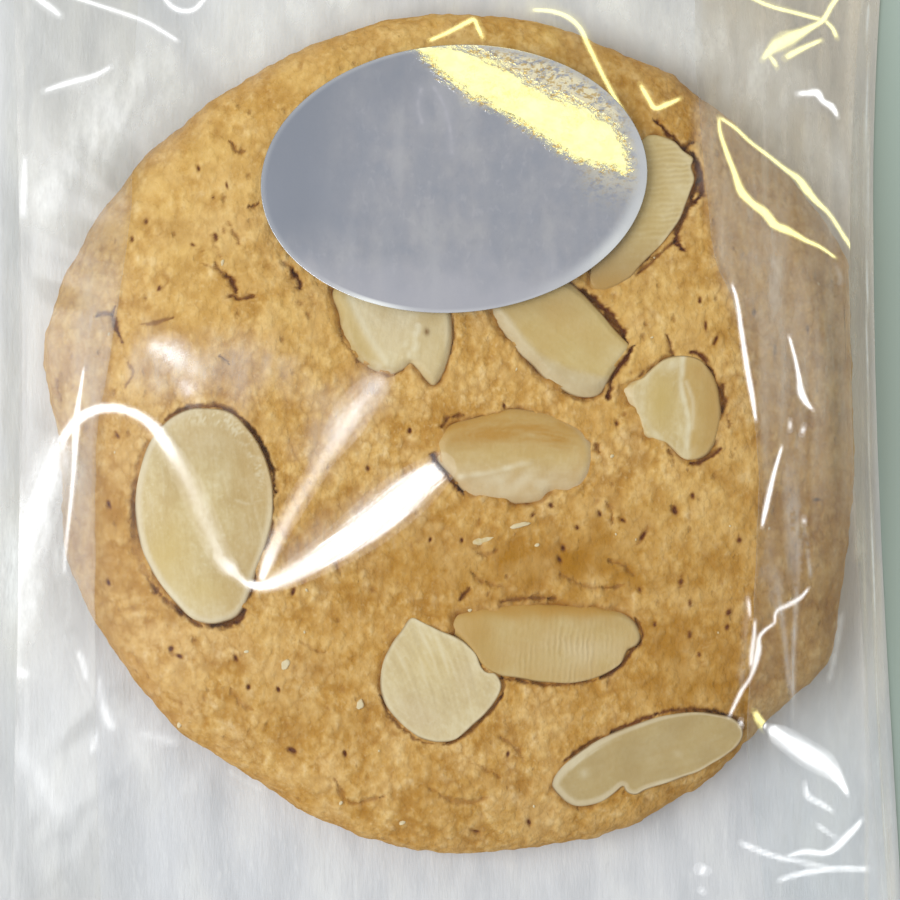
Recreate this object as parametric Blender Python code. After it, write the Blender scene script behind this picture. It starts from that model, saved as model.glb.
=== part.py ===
"""A round almond biscuit sealed flat in a clear, side-gusseted bag, with an oval sticker on the front.

Millimetres below, metres in the model. +Z is up, +Y runs along the bag, and the origin is
under the middle of the bag, on the surface that it lies on.

bag    one closed body: the flat back, the gusset walls, the front film drawn over the
       biscuit inside, and a flat welded band at each end
label  the thin oval sticker that follows the front of the bag
"""

import math

import bmesh
import bpy

# ---- the bag, laid flat ----------------------------------------------------------------
BAG_LENGTH = 126.0          # from end to end
LEFT_EDGE = 47.0            # from the middle to the straight left side
RIGHT_EDGE = 47.0           # the same on the right, where nothing pulls the side in
LEFT_PULL = 0.6             # how far the biscuit draws the left side in
RIGHT_PULL = 3.7            # and the right side
PULL_AT = 26.0              # the Y of the narrowest place
PULL_REACH_UP = 56.0        # how far the pull reaches towards the top end
PULL_REACH_DOWN = 89.0      # and towards the bottom end
LIP = 0.8                   # thickness of the edge, where the films and the back meet
WELD = 7.0                  # width of the flat welded band at each end
WELD_RIBS = 3               # ribs across each welded band
RIB_HEIGHT = 0.18
GUSSET_MIDDLE = 3.1         # how far the gusset's upper crease lies inside the edge, beside the biscuit
GUSSET_END = 1.6            # and at the welded bands
GUSSET_HEIGHT = 6.4         # height of that crease beside the biscuit

# ---- the biscuit that fills it ---------------------------------------------------------
BISCUIT_X, BISCUIT_Y = 0.2, 1.6
BISCUIT_R = 41.2            # mean radius
BISCUIT_LOBES = ((2, 0.6, 60.0), (3, 0.5, -50.0), (6, 0.5, -30.0))   # waves round it, depth, direction
CROWN = 12.3                # height of the film over the middle
SHOULDER = 9.1              # and where it leaves the biscuit
SHOULDER_AT = 0.93          # that place, as a share of the radius
SAG = 0.10                  # how far the free film dips below a straight line, as a share of its drop
PUCKER = 0.45               # height of the folds that run from the biscuit to the corners
PUCKERS = 34                # folds round the whole bag

# ---- the sticker -----------------------------------------------------------------------
LABEL_X, LABEL_Y = 0.4, 27.1
LABEL_HALF = (19.25, 13.4)  # half its length and half its width
LABEL_TILT = 4.0            # degrees, its right end towards the top
LABEL_THICK = 0.25
LABEL_GAP = 0.35            # clear of the film that carries it

# ---- how finely the faces are cut ------------------------------------------------------
SIDE_STEPS = 38             # along each long side
END_STEPS = 24              # along each end
DOME_RINGS = 10             # from the middle to the shoulder
FREE_RINGS = 7              # from the shoulder to the crease
LABEL_ROUND = 60
LABEL_RINGS = 6

MM = 0.001


def bell(distance, reach, power=1.0):
    """1 in the middle, falling smoothly to 0 at reach."""
    share = min(abs(distance) / reach, 1.0)
    return max(math.cos(share * math.pi / 2), 0.0) ** power


def pulled(y):
    return bell(y - PULL_AT, PULL_REACH_UP if y > PULL_AT else PULL_REACH_DOWN, 1.25)


def side_x(side, y):
    """The X of the bag's left (-1) or right (1) edge at y."""
    if side < 0:
        return -(LEFT_EDGE - LEFT_PULL * pulled(y))
    return RIGHT_EDGE - RIGHT_PULL * pulled(y)


def biscuit_radius(angle):
    return BISCUIT_R + sum(
        depth * math.cos(waves * (angle - math.radians(towards)))
        for waves, depth, towards in BISCUIT_LOBES
    )


def dome(x, y):
    """Height of the film where it lies on the biscuit."""
    dx, dy = x - BISCUIT_X, y - BISCUIT_Y
    share = math.hypot(dx, dy) / biscuit_radius(math.atan2(dy, dx))
    return CROWN - (CROWN - SHOULDER) * (share / SHOULDER_AT) ** 3.2


def outline():
    """Points round the bag, counter-clockwise from the lower right corner: each is the
    outer point and the point of the crease inside it, with the crease's height."""
    half, inner = BAG_LENGTH / 2, BAG_LENGTH / 2 - WELD
    ys = [-half + BAG_LENGTH * i / SIDE_STEPS for i in range(SIDE_STEPS + 1)]
    points = []
    for side in (1, -1):
        for y in ys if side > 0 else ys[::-1]:
            at = y * inner / half
            lift = bell(at, inner, 0.8)
            inset = GUSSET_END + (GUSSET_MIDDLE - GUSSET_END) * lift
            points.append(
                (
                    (side_x(side, y), y),
                    (side_x(side, at) - side * inset, at),
                    LIP + (GUSSET_HEIGHT - LIP) * lift,
                )
            )
        y = half * side
        for i in range(1, END_STEPS):
            share = i / END_STEPS
            a, b = side_x(side, y), side_x(-side, y)
            x = a + (b - a) * share
            squeeze = 1 - GUSSET_END / max(abs(a), abs(b))
            points.append(((x, y), (x * squeeze, inner * side), LIP))
    return points


def rib(x, y):
    """Height of the welded band's ribs at a point of the bag."""
    into = abs(y) - (BAG_LENGTH / 2 - WELD)
    if into <= 0:
        return 0.0
    return RIB_HEIGHT * math.sin(math.pi * min(into / WELD, 1.0) * WELD_RIBS) ** 2


def build_bag():
    bm = bmesh.new()
    centre = (BISCUIT_X, BISCUIT_Y)
    edge = outline()
    count = len(edge)

    def ring(points):
        return [bm.verts.new((x * MM, y * MM, z * MM)) for x, y, z in points]

    rings = []
    shoulders = []
    for _, (cx, cy), _ in edge:
        angle = math.atan2(cy - centre[1], cx - centre[0])
        reach = SHOULDER_AT * biscuit_radius(angle)
        shoulders.append((centre[0] + reach * math.cos(angle), centre[1] + reach * math.sin(angle)))

    # the part that lies on the biscuit
    for k in range(1, DOME_RINGS + 1):
        share = (k / DOME_RINGS) ** 0.8
        points = []
        for sx, sy in shoulders:
            x = centre[0] + (sx - centre[0]) * share
            y = centre[1] + (sy - centre[1]) * share
            points.append((x, y, dome(x, y)))
        rings.append(ring(points))

    # the free film, from the shoulder to the gusset's crease or the welded band
    for k in range(1, FREE_RINGS + 1):
        share = k / FREE_RINGS
        points = []
        for (sx, sy), (_, (cx, cy), crease) in zip(shoulders, edge):
            x, y = sx + (cx - sx) * share, sy + (cy - sy) * share
            start = dome(sx, sy)
            drop = start - crease
            z = start - drop * share - SAG * drop * math.sin(math.pi * share)
            length = math.hypot(cx - sx, cy - sy)
            if k < FREE_RINGS:
                turn = math.atan2(cy - centre[1], cx - centre[0])
                room = min(max(length - 6.0, 0.0) / 14.0, 1.0)
                z += PUCKER * room * math.sin(PUCKERS * turn) * math.sin(math.pi * share)
            points.append((x, y, z))
        rings.append(ring(points))

    # the gusset wall, or the welded band with its ribs
    wall_steps = 6
    for k in range(1, wall_steps + 1):
        share = k / wall_steps
        points = []
        for (ox, oy), (cx, cy), crease in edge:
            x, y = cx + (ox - cx) * share, cy + (oy - cy) * share
            z = crease + (LIP - crease) * share
            if k < wall_steps:
                z += rib(x, y)
            points.append((x, y, z))
        rings.append(ring(points))
    rings.append(ring([(ox, oy, 0.0) for (ox, oy), _, _ in edge]))

    middle = bm.verts.new((centre[0] * MM, centre[1] * MM, CROWN * MM))
    for i in range(count):
        j = (i + 1) % count
        bm.faces.new((middle, rings[0][i], rings[0][j]))
        for inner_ring, outer_ring in zip(rings, rings[1:]):
            bm.faces.new((inner_ring[i], outer_ring[i], outer_ring[j], inner_ring[j]))
    # the flat back, in rings so that no face has all its corners on one straight edge
    back = [rings[-1]]
    for share in (0.8, 0.4):
        back.append(
            ring([(centre[0] + (ox - centre[0]) * share, centre[1] + (oy - centre[1]) * share, 0.0)
                  for (ox, oy), _, _ in edge])
        )
    under = bm.verts.new((centre[0] * MM, centre[1] * MM, 0.0))
    for i in range(count):
        j = (i + 1) % count
        for outer_ring, inner_ring in zip(back, back[1:]):
            bm.faces.new((outer_ring[i], inner_ring[i], inner_ring[j], outer_ring[j]))
        bm.faces.new((back[-1][i], under, back[-1][j]))
    bmesh.ops.triangulate(bm, faces=bm.faces[:])
    return bm


def build_label():
    bm = bmesh.new()
    tilt = math.radians(LABEL_TILT)
    cos_t, sin_t = math.cos(tilt), math.sin(tilt)

    def at(share, turn):
        u, v = LABEL_HALF[0] * share * math.cos(turn), LABEL_HALF[1] * share * math.sin(turn)
        return LABEL_X + u * cos_t - v * sin_t, LABEL_Y + u * sin_t + v * cos_t

    sides = []
    for rise in (LABEL_GAP, LABEL_GAP + LABEL_THICK):
        x, y = at(0, 0)
        middle = bm.verts.new((x * MM, y * MM, (dome(x, y) + rise) * MM))
        rings = []
        for k in range(1, LABEL_RINGS + 1):
            row = []
            for i in range(LABEL_ROUND):
                x, y = at(k / LABEL_RINGS, 2 * math.pi * i / LABEL_ROUND)
                row.append(bm.verts.new((x * MM, y * MM, (dome(x, y) + rise) * MM)))
            rings.append(row)
        sides.append((middle, rings))

    for flip, (middle, rings) in enumerate(sides):
        for i in range(LABEL_ROUND):
            j = (i + 1) % LABEL_ROUND
            faces = [(middle, rings[0][i], rings[0][j])]
            faces += [(a[i], b[i], b[j], a[j]) for a, b in zip(rings, rings[1:])]
            for corners in faces:
                bm.faces.new(corners if flip else corners[::-1])
    low, high = sides[0][1][-1], sides[1][1][-1]
    for i in range(LABEL_ROUND):
        j = (i + 1) % LABEL_ROUND
        bm.faces.new((low[i], low[j], high[j], high[i]))
    bmesh.ops.triangulate(bm, faces=bm.faces[:])
    return bm


def material(name, colour, roughness, metallic=0.0, transmission=0.0):
    mat = bpy.data.materials.new(name)
    mat.use_nodes = True
    shader = mat.node_tree.nodes["Principled BSDF"]
    shader.inputs["Base Color"].default_value = (*colour, 1.0)
    shader.inputs["Roughness"].default_value = roughness
    shader.inputs["Metallic"].default_value = metallic
    shader.inputs["Transmission Weight"].default_value = transmission
    return mat


def add(name, bm, mat):
    mesh = bpy.data.meshes.new(name)
    bm.to_mesh(mesh)
    bm.free()
    mesh.materials.append(mat)
    mesh.shade_smooth()
    mesh.set_sharp_from_angle(angle=math.radians(35))
    obj = bpy.data.objects.new(name, mesh)
    bpy.context.scene.collection.objects.link(obj)
    return obj


def main():
    for old in list(bpy.data.objects):
        bpy.data.objects.remove(old, do_unlink=True)
    add("bag", build_bag(), material("clear_film", (0.72, 0.52, 0.27), 0.2))
    add("label", build_label(), material("silver_label", (0.56, 0.59, 0.66), 0.35, metallic=0.7))


main()
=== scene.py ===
"""The looks of the bagged almond biscuit.

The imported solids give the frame. The closed body of the bag is stood for by a paper
back, a front film with its folds, the folded gusset films inside both long sides, the
biscuit and its almond flakes. The sticker is stood for by a thin shell on the film.

Lengths in the code are millimetres in the row frame, and every mesh is scaled to metres
at the end. Places that are read off the view from above are given in its pixels: one
pixel is 0.1 mm at the height PLANE.
"""

import math

import bmesh
import bpy
import numpy as np
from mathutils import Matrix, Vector


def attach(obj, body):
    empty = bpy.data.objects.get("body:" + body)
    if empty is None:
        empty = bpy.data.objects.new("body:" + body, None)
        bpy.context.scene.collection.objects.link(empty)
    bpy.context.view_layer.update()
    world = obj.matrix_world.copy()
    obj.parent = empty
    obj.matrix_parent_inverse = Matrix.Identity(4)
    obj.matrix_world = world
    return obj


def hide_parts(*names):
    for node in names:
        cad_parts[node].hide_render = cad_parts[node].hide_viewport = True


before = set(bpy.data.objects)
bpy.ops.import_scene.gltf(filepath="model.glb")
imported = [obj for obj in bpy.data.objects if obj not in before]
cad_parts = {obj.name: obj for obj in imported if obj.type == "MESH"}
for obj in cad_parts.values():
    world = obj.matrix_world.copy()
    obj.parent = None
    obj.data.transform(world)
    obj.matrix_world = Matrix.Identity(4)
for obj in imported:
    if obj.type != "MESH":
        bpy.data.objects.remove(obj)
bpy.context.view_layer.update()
MM = 0.001

# ---- the view from above -----------------------------------------------------------------
PLANE = 10.0                 # height, in mm, at which a pixel is 0.1 mm
EYE = 430.0                  # height of the camera
HALF_PICTURE = 450.0         # pixels


def px(x, y, z=PLANE):
    """Millimetres of a pixel's place on the plane at height z."""
    s = 0.1 * (EYE - z) / (EYE - PLANE)
    return (x - HALF_PICTURE) * s, (HALF_PICTURE - y) * s


def pxs(points, z=PLANE):
    return np.array([px(x, y, z) for x, y in points], float)


# ---- the bag's own shape, the same rules as the solid ------------------------------------
BAG_LENGTH = 126.0
LEFT_EDGE = RIGHT_EDGE = 47.0
LEFT_PULL, RIGHT_PULL = 0.6, 3.7
PULL_AT, PULL_UP, PULL_DOWN = 26.0, 56.0, 89.0
LIP = 0.8
WELD = 7.0
WELD_RIBS, RIB_HEIGHT = 3, 0.18
GUSSET_MIDDLE, GUSSET_END, GUSSET_HEIGHT = 3.1, 1.6, 6.4
BX, BY, BR = 0.2, 1.6, 41.2
LOBES = ((2, 0.6, 60.0), (3, 0.5, -50.0), (6, 0.5, -30.0))
CROWN, SHOULDER, SHOULDER_AT, SAG = 12.3, 9.1, 0.93, 0.10
LABEL_X, LABEL_Y, LABEL_HALF, LABEL_TILT = 0.4, 27.1, (19.25, 13.4), 4.0
INNER = BAG_LENGTH / 2 - WELD


def bell(distance, reach, power=1.0):
    share = np.minimum(np.abs(distance) / reach, 1.0)
    return np.maximum(np.cos(share * math.pi / 2), 0.0) ** power


def pulled(y):
    return bell(y - PULL_AT, np.where(np.asarray(y) > PULL_AT, PULL_UP, PULL_DOWN), 1.25)


def side_x(side, y):
    return -(LEFT_EDGE - LEFT_PULL * pulled(y)) if side < 0 else RIGHT_EDGE - RIGHT_PULL * pulled(y)


def biscuit_r(angle):
    return BR + sum(d * np.cos(w * (angle - math.radians(t))) for w, d, t in LOBES)


def lift(y):
    return bell(y, INNER, 0.8)


def crease_x(side, y):
    """X of the upper crease of the gusset."""
    return side_x(side, y) - side * (GUSSET_END + (GUSSET_MIDDLE - GUSSET_END) * lift(y))


def crease_z(y):
    return LIP + (GUSSET_HEIGHT - LIP) * lift(y)


def smooth(t, lo=0.0, hi=1.0):
    t = np.clip((t - lo) / (hi - lo), 0.0, 1.0)
    return t * t * (3 - 2 * t)


def cover(x, y):
    """Height of the film without its folds."""
    x, y = np.asarray(x, float), np.asarray(y, float)
    dx, dy = x - BX, y - BY
    r = np.hypot(dx, dy) + 1e-9
    a = np.arctan2(dy, dx)
    rb = biscuit_r(a)
    rs = SHOULDER_AT * rb
    on = CROWN - (CROWN - SHOULDER) * (r / rs) ** 3.2
    # where the ray from the middle of the biscuit meets the crease
    cy = np.where(np.abs(dy) > 1e-6, (np.sign(dy) * INNER - BY) / np.where(np.abs(dy) > 1e-6, dy, 1.0), 1e9)
    side = np.where(dx >= 0, 1.0, -1.0)
    yy = y.copy()
    for _ in range(4):
        yc = np.clip(yy, -INNER, INNER)
        edge = np.where(side > 0, crease_x(1, yc), crease_x(-1, yc))
        cx = np.where(np.abs(dx) > 1e-6, (edge - BX) / np.where(np.abs(dx) > 1e-6, dx, 1.0), 1e9)
        k = np.minimum(cx, cy)
        yy = BY + dy * k
    yc = np.clip(yy, -INNER, INNER)
    zc = np.where(np.abs(yc) >= INNER - 1e-6, LIP, crease_z(yc))
    rc = r * k
    t = np.clip((r - rs) / np.maximum(rc - rs, 0.5), 0.0, 1.0)
    drop = SHOULDER - zc
    slope0 = (CROWN - SHOULDER) * 3.2 / rs * np.maximum(rc - rs, 0.5)      # the dome's own slope, over the ramp
    s = np.clip(slope0 / np.maximum(drop, 0.3), 0.0, 2.2)
    ramp = t + (s - 1.0 - 4 * SAG) * 0.35 * t * (1 - t) ** 3 + 4 * SAG * t * (1 - t) * t
    free = SHOULDER - drop * ramp
    z = np.where(r <= rs, on, free)
    # outside the crease: the gusset's wall, and the welded bands
    ex = np.where(side > 0, side_x(1, y), -side_x(-1, y))
    kx = np.where(side > 0, crease_x(1, y), -crease_x(-1, y))
    out = np.clip((np.abs(x) - kx) / np.maximum(ex - kx, 0.3), 0.0, 1.0)
    wall = LIP + (crease_z(np.clip(y, -INNER, INNER)) - LIP) * (1 - out) ** 1.2
    z = np.where((np.abs(x) > kx) & (np.abs(y) < INNER), np.minimum(z, wall), z)
    band = np.abs(y) >= INNER
    return np.where(band, LIP, z)


# ---- noise --------------------------------------------------------------------------------
def lattice_noise(x, y, scale, seed):
    """Smooth gradient noise, about -1 to 1, with features of the size `scale`."""
    rng = np.random.RandomState(seed)
    perm = rng.permutation(256)
    ang = rng.rand(256) * 2 * math.pi
    gx, gy = np.cos(ang), np.sin(ang)
    u, v = np.asarray(x) / scale + 512.37, np.asarray(y) / scale + 512.73
    i, j = np.floor(u).astype(int), np.floor(v).astype(int)
    fu, fv = u - i, v - j
    su, sv = fu ** 3 * (fu * (fu * 6 - 15) + 10), fv ** 3 * (fv * (fv * 6 - 15) + 10)

    def corner(a, b):
        h = perm[(perm[(i + a) & 255] + j + b) & 255]
        return gx[h] * (fu - a) + gy[h] * (fv - b)

    top = corner(0, 0) * (1 - su) + corner(1, 0) * su
    low = corner(0, 1) * (1 - su) + corner(1, 1) * su
    return (top * (1 - sv) + low * sv) * 1.5


def layered(x, y, scale, seed, octaves=4, gain=0.5):
    total, amp = 0.0, 1.0
    for k in range(octaves):
        total = total + amp * lattice_noise(x, y, scale / 2 ** k, seed + 17 * k)
        amp *= gain
    return total


def cells(x, y, scale, seed, stretch=1.0):
    """Distances to the nearest and second nearest of scattered points, in units of scale."""
    rng = np.random.RandomState(seed)
    jit = rng.rand(64, 64, 2)
    u, v = np.asarray(x) / scale + 640.2, np.asarray(y) / (scale * stretch) + 640.6
    i, j = np.floor(u).astype(int), np.floor(v).astype(int)
    d1, d2 = np.full(u.shape, 9.0), np.full(u.shape, 9.0)
    who = np.zeros(u.shape)
    for a in (-1, 0, 1):
        for b in (-1, 0, 1):
            p = jit[(i + a) & 63, (j + b) & 63]
            d = np.hypot(i + a + p[..., 0] - u, (j + b + p[..., 1] - v) * stretch)
            near = d < d1
            d2 = np.where(near, d1, np.minimum(d2, d))
            who = np.where(near, p[..., 0] * 7.3 % 1.0, who)
            d1 = np.where(near, d, d1)
    return d1, d2, who


def line_distance(x, y, points):
    """Distance to a polyline, the share of the way along it, and the side (signed distance)."""
    pts = np.asarray(points, float)
    seg = np.diff(pts, axis=0)
    length = np.hypot(seg[:, 0], seg[:, 1])
    run = np.concatenate([[0], np.cumsum(length)])
    best = np.full(np.shape(x), 1e9)
    along = np.zeros(np.shape(x))
    signed = np.zeros(np.shape(x))
    for k in range(len(seg)):
        if length[k] < 1e-9:
            continue
        dx, dy = x - pts[k, 0], y - pts[k, 1]
        t = np.clip((dx * seg[k, 0] + dy * seg[k, 1]) / length[k] ** 2, 0, 1)
        ex, ey = dx - t * seg[k, 0], dy - t * seg[k, 1]
        d = np.hypot(ex, ey)
        near = d < best
        best = np.where(near, d, best)
        along = np.where(near, (run[k] + t * length[k]) / run[-1], along)
        cross = seg[k, 0] * dy - seg[k, 1] * dx
        signed = np.where(near, np.sign(cross) * d, signed)
    return best, along, signed


def spline(points, per=6, closed=False):
    """A smooth line through the points."""
    p = np.asarray(points, float)
    n = len(p)
    out = []
    last = n if closed else n - 1
    for k in range(last):
        if closed:
            a, b, c, d = p[(k - 1) % n], p[k], p[(k + 1) % n], p[(k + 2) % n]
        else:
            b, c = p[k], p[k + 1]
            a = p[k - 1] if k else 2 * b - c
            d = p[k + 2] if k + 2 < n else 2 * c - b
        for i in range(per):
            t = i / per
            out.append(0.5 * (2 * b + (c - a) * t + (2 * a - 5 * b + 4 * c - d) * t * t + (3 * b - a - 3 * c + d) * t ** 3))
    if not closed:
        out.append(p[-1])
    return np.array(out)


# ---- meshes and materials -----------------------------------------------------------------
def mesh_object(name, co, faces, attributes=None, smooth_shade=True):
    """co in mm. faces is an (n, 3 or 4) array or a list of tuples."""
    me = bpy.data.meshes.new(name)
    co = np.asarray(co, float) * MM
    if isinstance(faces, np.ndarray):
        k = faces.shape[1]
        me.vertices.add(len(co))
        me.vertices.foreach_set("co", co.ravel())
        me.loops.add(faces.size)
        me.loops.foreach_set("vertex_index", faces.ravel().astype(np.int32))
        me.polygons.add(len(faces))
        me.polygons.foreach_set("loop_start", np.arange(0, faces.size, k, dtype=np.int32))
        me.update(calc_edges=True)
    else:
        me.from_pydata([tuple(c) for c in co], [], faces)
        me.update()
    me.validate()
    me.polygons.foreach_set("use_smooth", np.full(len(me.polygons), smooth_shade))
    for key, values in (attributes or {}).items():
        at = me.attributes.new(key, "FLOAT", "POINT")
        at.data.foreach_set("value", np.asarray(values, np.float32).ravel())
    ob = bpy.data.objects.new(name, me)
    bpy.context.scene.collection.objects.link(ob)
    return ob


def material(name):
    m = bpy.data.materials.new(name)
    m.use_nodes = True
    t = m.node_tree
    t.nodes.clear()
    out = t.nodes.new("ShaderNodeOutputMaterial")
    return m, t, out


class Tree:
    """Short names for building node trees."""

    def __init__(self, tree):
        self.t = tree

    def node(self, kind, **sockets):
        n = self.t.nodes.new(kind)
        for key, value in sockets.items():
            if key.startswith("p_"):
                setattr(n, key[2:], value)
        for key, value in sockets.items():
            if not key.startswith("p_"):
                self.put(n, key.replace("_", " "), value)
        return n

    def put(self, n, key, value):
        s = n.inputs[int(key)] if key.isdigit() else n.inputs[key]
        if isinstance(value, bpy.types.NodeSocket):
            self.t.links.new(value, s)
        else:
            s.default_value = value

    def math(self, op, a, b=0.0, c=None, clamp=False):
        n = self.t.nodes.new("ShaderNodeMath")
        n.operation = op
        n.use_clamp = clamp
        for k, value in enumerate([a, b] + ([c] if c is not None else [])):
            if isinstance(value, bpy.types.NodeSocket):
                self.t.links.new(value, n.inputs[k])
            else:
                n.inputs[k].default_value = value
        return n.outputs[0]

    def mix(self, fac, a, b, blend="MIX"):
        n = self.t.nodes.new("ShaderNodeMix")
        n.data_type = "RGBA"
        n.blend_type = blend
        n.clamp_factor = True
        for s, value in ((n.inputs[0], fac), (n.inputs[6], a), (n.inputs[7], b)):
            if isinstance(value, bpy.types.NodeSocket):
                self.t.links.new(value, s)
            elif isinstance(value, tuple):
                s.default_value = (*value[:3], 1.0)
            else:
                s.default_value = value
        return n.outputs[2]

    def attr(self, name):
        n = self.t.nodes.new("ShaderNodeAttribute")
        n.attribute_name = name
        return n.outputs["Fac"]

    def coords(self, scale=(1.0, 1.0, 1.0)):
        """Object coordinates, in mm, divided by scale."""
        c = self.t.nodes.new("ShaderNodeTexCoord")
        m = self.t.nodes.new("ShaderNodeMapping")
        m.inputs["Scale"].default_value = tuple(1000.0 / s for s in scale)
        self.t.links.new(c.outputs["Object"], m.inputs["Vector"])
        return m.outputs["Vector"]

    def noise(self, vector, detail=3.0, rough=0.5, scale=1.0, distortion=0.0):
        n = self.t.nodes.new("ShaderNodeTexNoise")
        n.inputs["Scale"].default_value = scale
        n.inputs["Detail"].default_value = detail
        n.inputs["Roughness"].default_value = rough
        n.inputs["Distortion"].default_value = distortion
        self.t.links.new(vector, n.inputs["Vector"])
        return n.outputs["Fac"]

    def warp(self, vector, amount, scale=1.0):
        """The vector pushed about by noise."""
        tex = self.t.nodes.new("ShaderNodeTexNoise")
        tex.inputs["Scale"].default_value = scale
        tex.inputs["Detail"].default_value = 1.0
        self.t.links.new(vector, tex.inputs["Vector"])
        add = self.t.nodes.new("ShaderNodeVectorMath")
        add.operation = "MULTIPLY_ADD"
        self.t.links.new(tex.outputs["Color"], add.inputs[0])
        add.inputs[1].default_value = (amount, amount, amount)
        self.t.links.new(vector, add.inputs[2])
        return add.outputs[0]

    def ramp(self, fac, stops, interpolation="LINEAR"):
        n = self.t.nodes.new("ShaderNodeValToRGB")
        n.color_ramp.interpolation = interpolation
        el = n.color_ramp.elements
        while len(el) < len(stops):
            el.new(0.5)
        for e, (pos, col) in zip(el, stops):
            e.position = pos
            e.color = (*col, 1.0) if isinstance(col, tuple) else (col, col, col, 1.0)
        self.t.links.new(fac, n.inputs["Fac"])
        return n.outputs["Color"]

    def voronoi(self, vector, feature="F1", scale=1.0, randomness=1.0):
        n = self.t.nodes.new("ShaderNodeTexVoronoi")
        n.feature = feature
        n.inputs["Scale"].default_value = scale
        n.inputs["Randomness"].default_value = randomness
        self.t.links.new(vector, n.inputs["Vector"])
        return n.outputs

    def bump(self, height, distance_mm, strength=1.0, normal=None):
        n = self.t.nodes.new("ShaderNodeBump")
        n.inputs["Strength"].default_value = strength
        n.inputs["Distance"].default_value = distance_mm * MM
        self.t.links.new(height, n.inputs["Height"])
        if normal is not None:
            self.t.links.new(normal, n.inputs["Normal"])
        return n.outputs["Normal"]


def srgb(r, g, b):
    """Linear colour of 8-bit values."""
    return tuple((c / 255 / 12.92) if c <= 10 else ((c / 255 + 0.055) / 1.055) ** 2.4 for c in (r, g, b))


VEIL, THROUGH = (0.014, 0.016, 0.018), 0.945


def seen(r, g, b):
    """Linear colour that looks like those 8-bit values through the film."""
    return tuple(max((c - v) / THROUGH, 0.004) for c, v in zip(srgb(r, g, b), VEIL))


# ---- grids that are finer where there is something to show ---------------------------------
def tree_mesh(nx, ny, levels, want):
    """A grid of nx by ny cells over the unit square, each cell split up to `levels` times
    where want(u, v, level) is true. Returns the points (u, v), the quads and the triangles
    that fill the cells whose neighbours are finer."""
    full = 2 ** levels
    w, h = nx * full, ny * full
    cell = np.stack(np.meshgrid(np.arange(nx), np.arange(ny), indexing="ij"), -1).reshape(-1, 2) * full
    leaves, size = [], full
    for level in range(levels + 1):
        if level < levels:
            split = want((cell[:, 0] + size / 2) / w, (cell[:, 1] + size / 2) / h, level)
        else:
            split = np.zeros(len(cell), bool)
        leaves.append((cell[~split], size))
        c, half = cell[split], size // 2
        if half:
            cell = np.concatenate([c, c + (half, 0), c + (half, half), c + (0, half)])
        size = half
    used = np.zeros((w + 1, h + 1), bool)
    for c, s in leaves:
        for a, b in ((0, 0), (s, 0), (s, s), (0, s)):
            used[c[:, 0] + a, c[:, 1] + b] = True
    ident = np.full((w + 1, h + 1), -1, np.int64)
    where = np.argwhere(used)
    ident[where[:, 0], where[:, 1]] = np.arange(len(where))
    points = [where.astype(float)]
    count = len(where)
    quads, tris = [], []
    for c, s in leaves:
        if not len(c):
            continue
        x, y = c[:, 0], c[:, 1]
        hanging = np.zeros(len(c), bool)
        for k in range(1, s):
            hanging |= used[x + k, y] | used[x + s, y + k] | used[x + k, y + s] | used[x, y + k]
        q = c[~hanging]
        x, y = q[:, 0], q[:, 1]
        quads.append(np.stack([ident[x, y], ident[x + s, y], ident[x + s, y + s], ident[x, y + s]], -1))
        extra = []
        for x, y in c[hanging]:
            loop = [ident[x + k, y] for k in range(s) if used[x + k, y]]
            loop += [ident[x + s, y + k] for k in range(s) if used[x + s, y + k]]
            loop += [ident[x + s - k, y + s] for k in range(s) if used[x + s - k, y + s]]
            loop += [ident[x, y + s - k] for k in range(s) if used[x, y + s - k]]
            middle = count + len(extra)
            extra.append((x + s / 2, y + s / 2))
            tris += [(loop[k], loop[(k + 1) % len(loop)], middle) for k in range(len(loop))]
        if extra:
            points.append(np.array(extra, float))
            count += len(extra)
    pts = np.concatenate(points) / (w, h)
    rim = []
    for k in range(w):
        rim.append(ident[k, 0])
    for k in range(h):
        rim.append(ident[w, k])
    for k in range(w, 0, -1):
        rim.append(ident[k, h])
    for k in range(h, 0, -1):
        rim.append(ident[0, k])
    return pts, np.concatenate(quads), np.array(tris, np.int64).reshape(-1, 3), [k for k in rim if k >= 0]


def mixed_object(name, co, parts, attributes=None, normals=None):
    """co in mm, parts a list of (n, k) index arrays, all faces shaded smooth."""
    me = bpy.data.meshes.new(name)
    parts = [np.asarray(p, np.int32) for p in parts if len(p)]
    me.vertices.add(len(co))
    me.vertices.foreach_set("co", (np.asarray(co, float) * MM).ravel())
    loops = np.concatenate([p.ravel() for p in parts])
    me.loops.add(len(loops))
    me.loops.foreach_set("vertex_index", loops)
    starts, at = [], 0
    for p in parts:
        starts.append(at + np.arange(len(p)) * p.shape[1])
        at += p.size
    starts = np.concatenate(starts).astype(np.int32)
    me.polygons.add(len(starts))
    me.polygons.foreach_set("loop_start", starts)
    me.update(calc_edges=True)
    me.polygons.foreach_set("use_smooth", np.ones(len(me.polygons), bool))
    for key, values in (attributes or {}).items():
        a = me.attributes.new(key, "FLOAT", "POINT")
        a.data.foreach_set("value", np.asarray(values, np.float32).ravel())
    if normals is not None:
        me.normals_split_custom_set_from_vertices(normals)
    ob = bpy.data.objects.new(name, me)
    bpy.context.scene.collection.objects.link(ob)
    return ob


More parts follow.
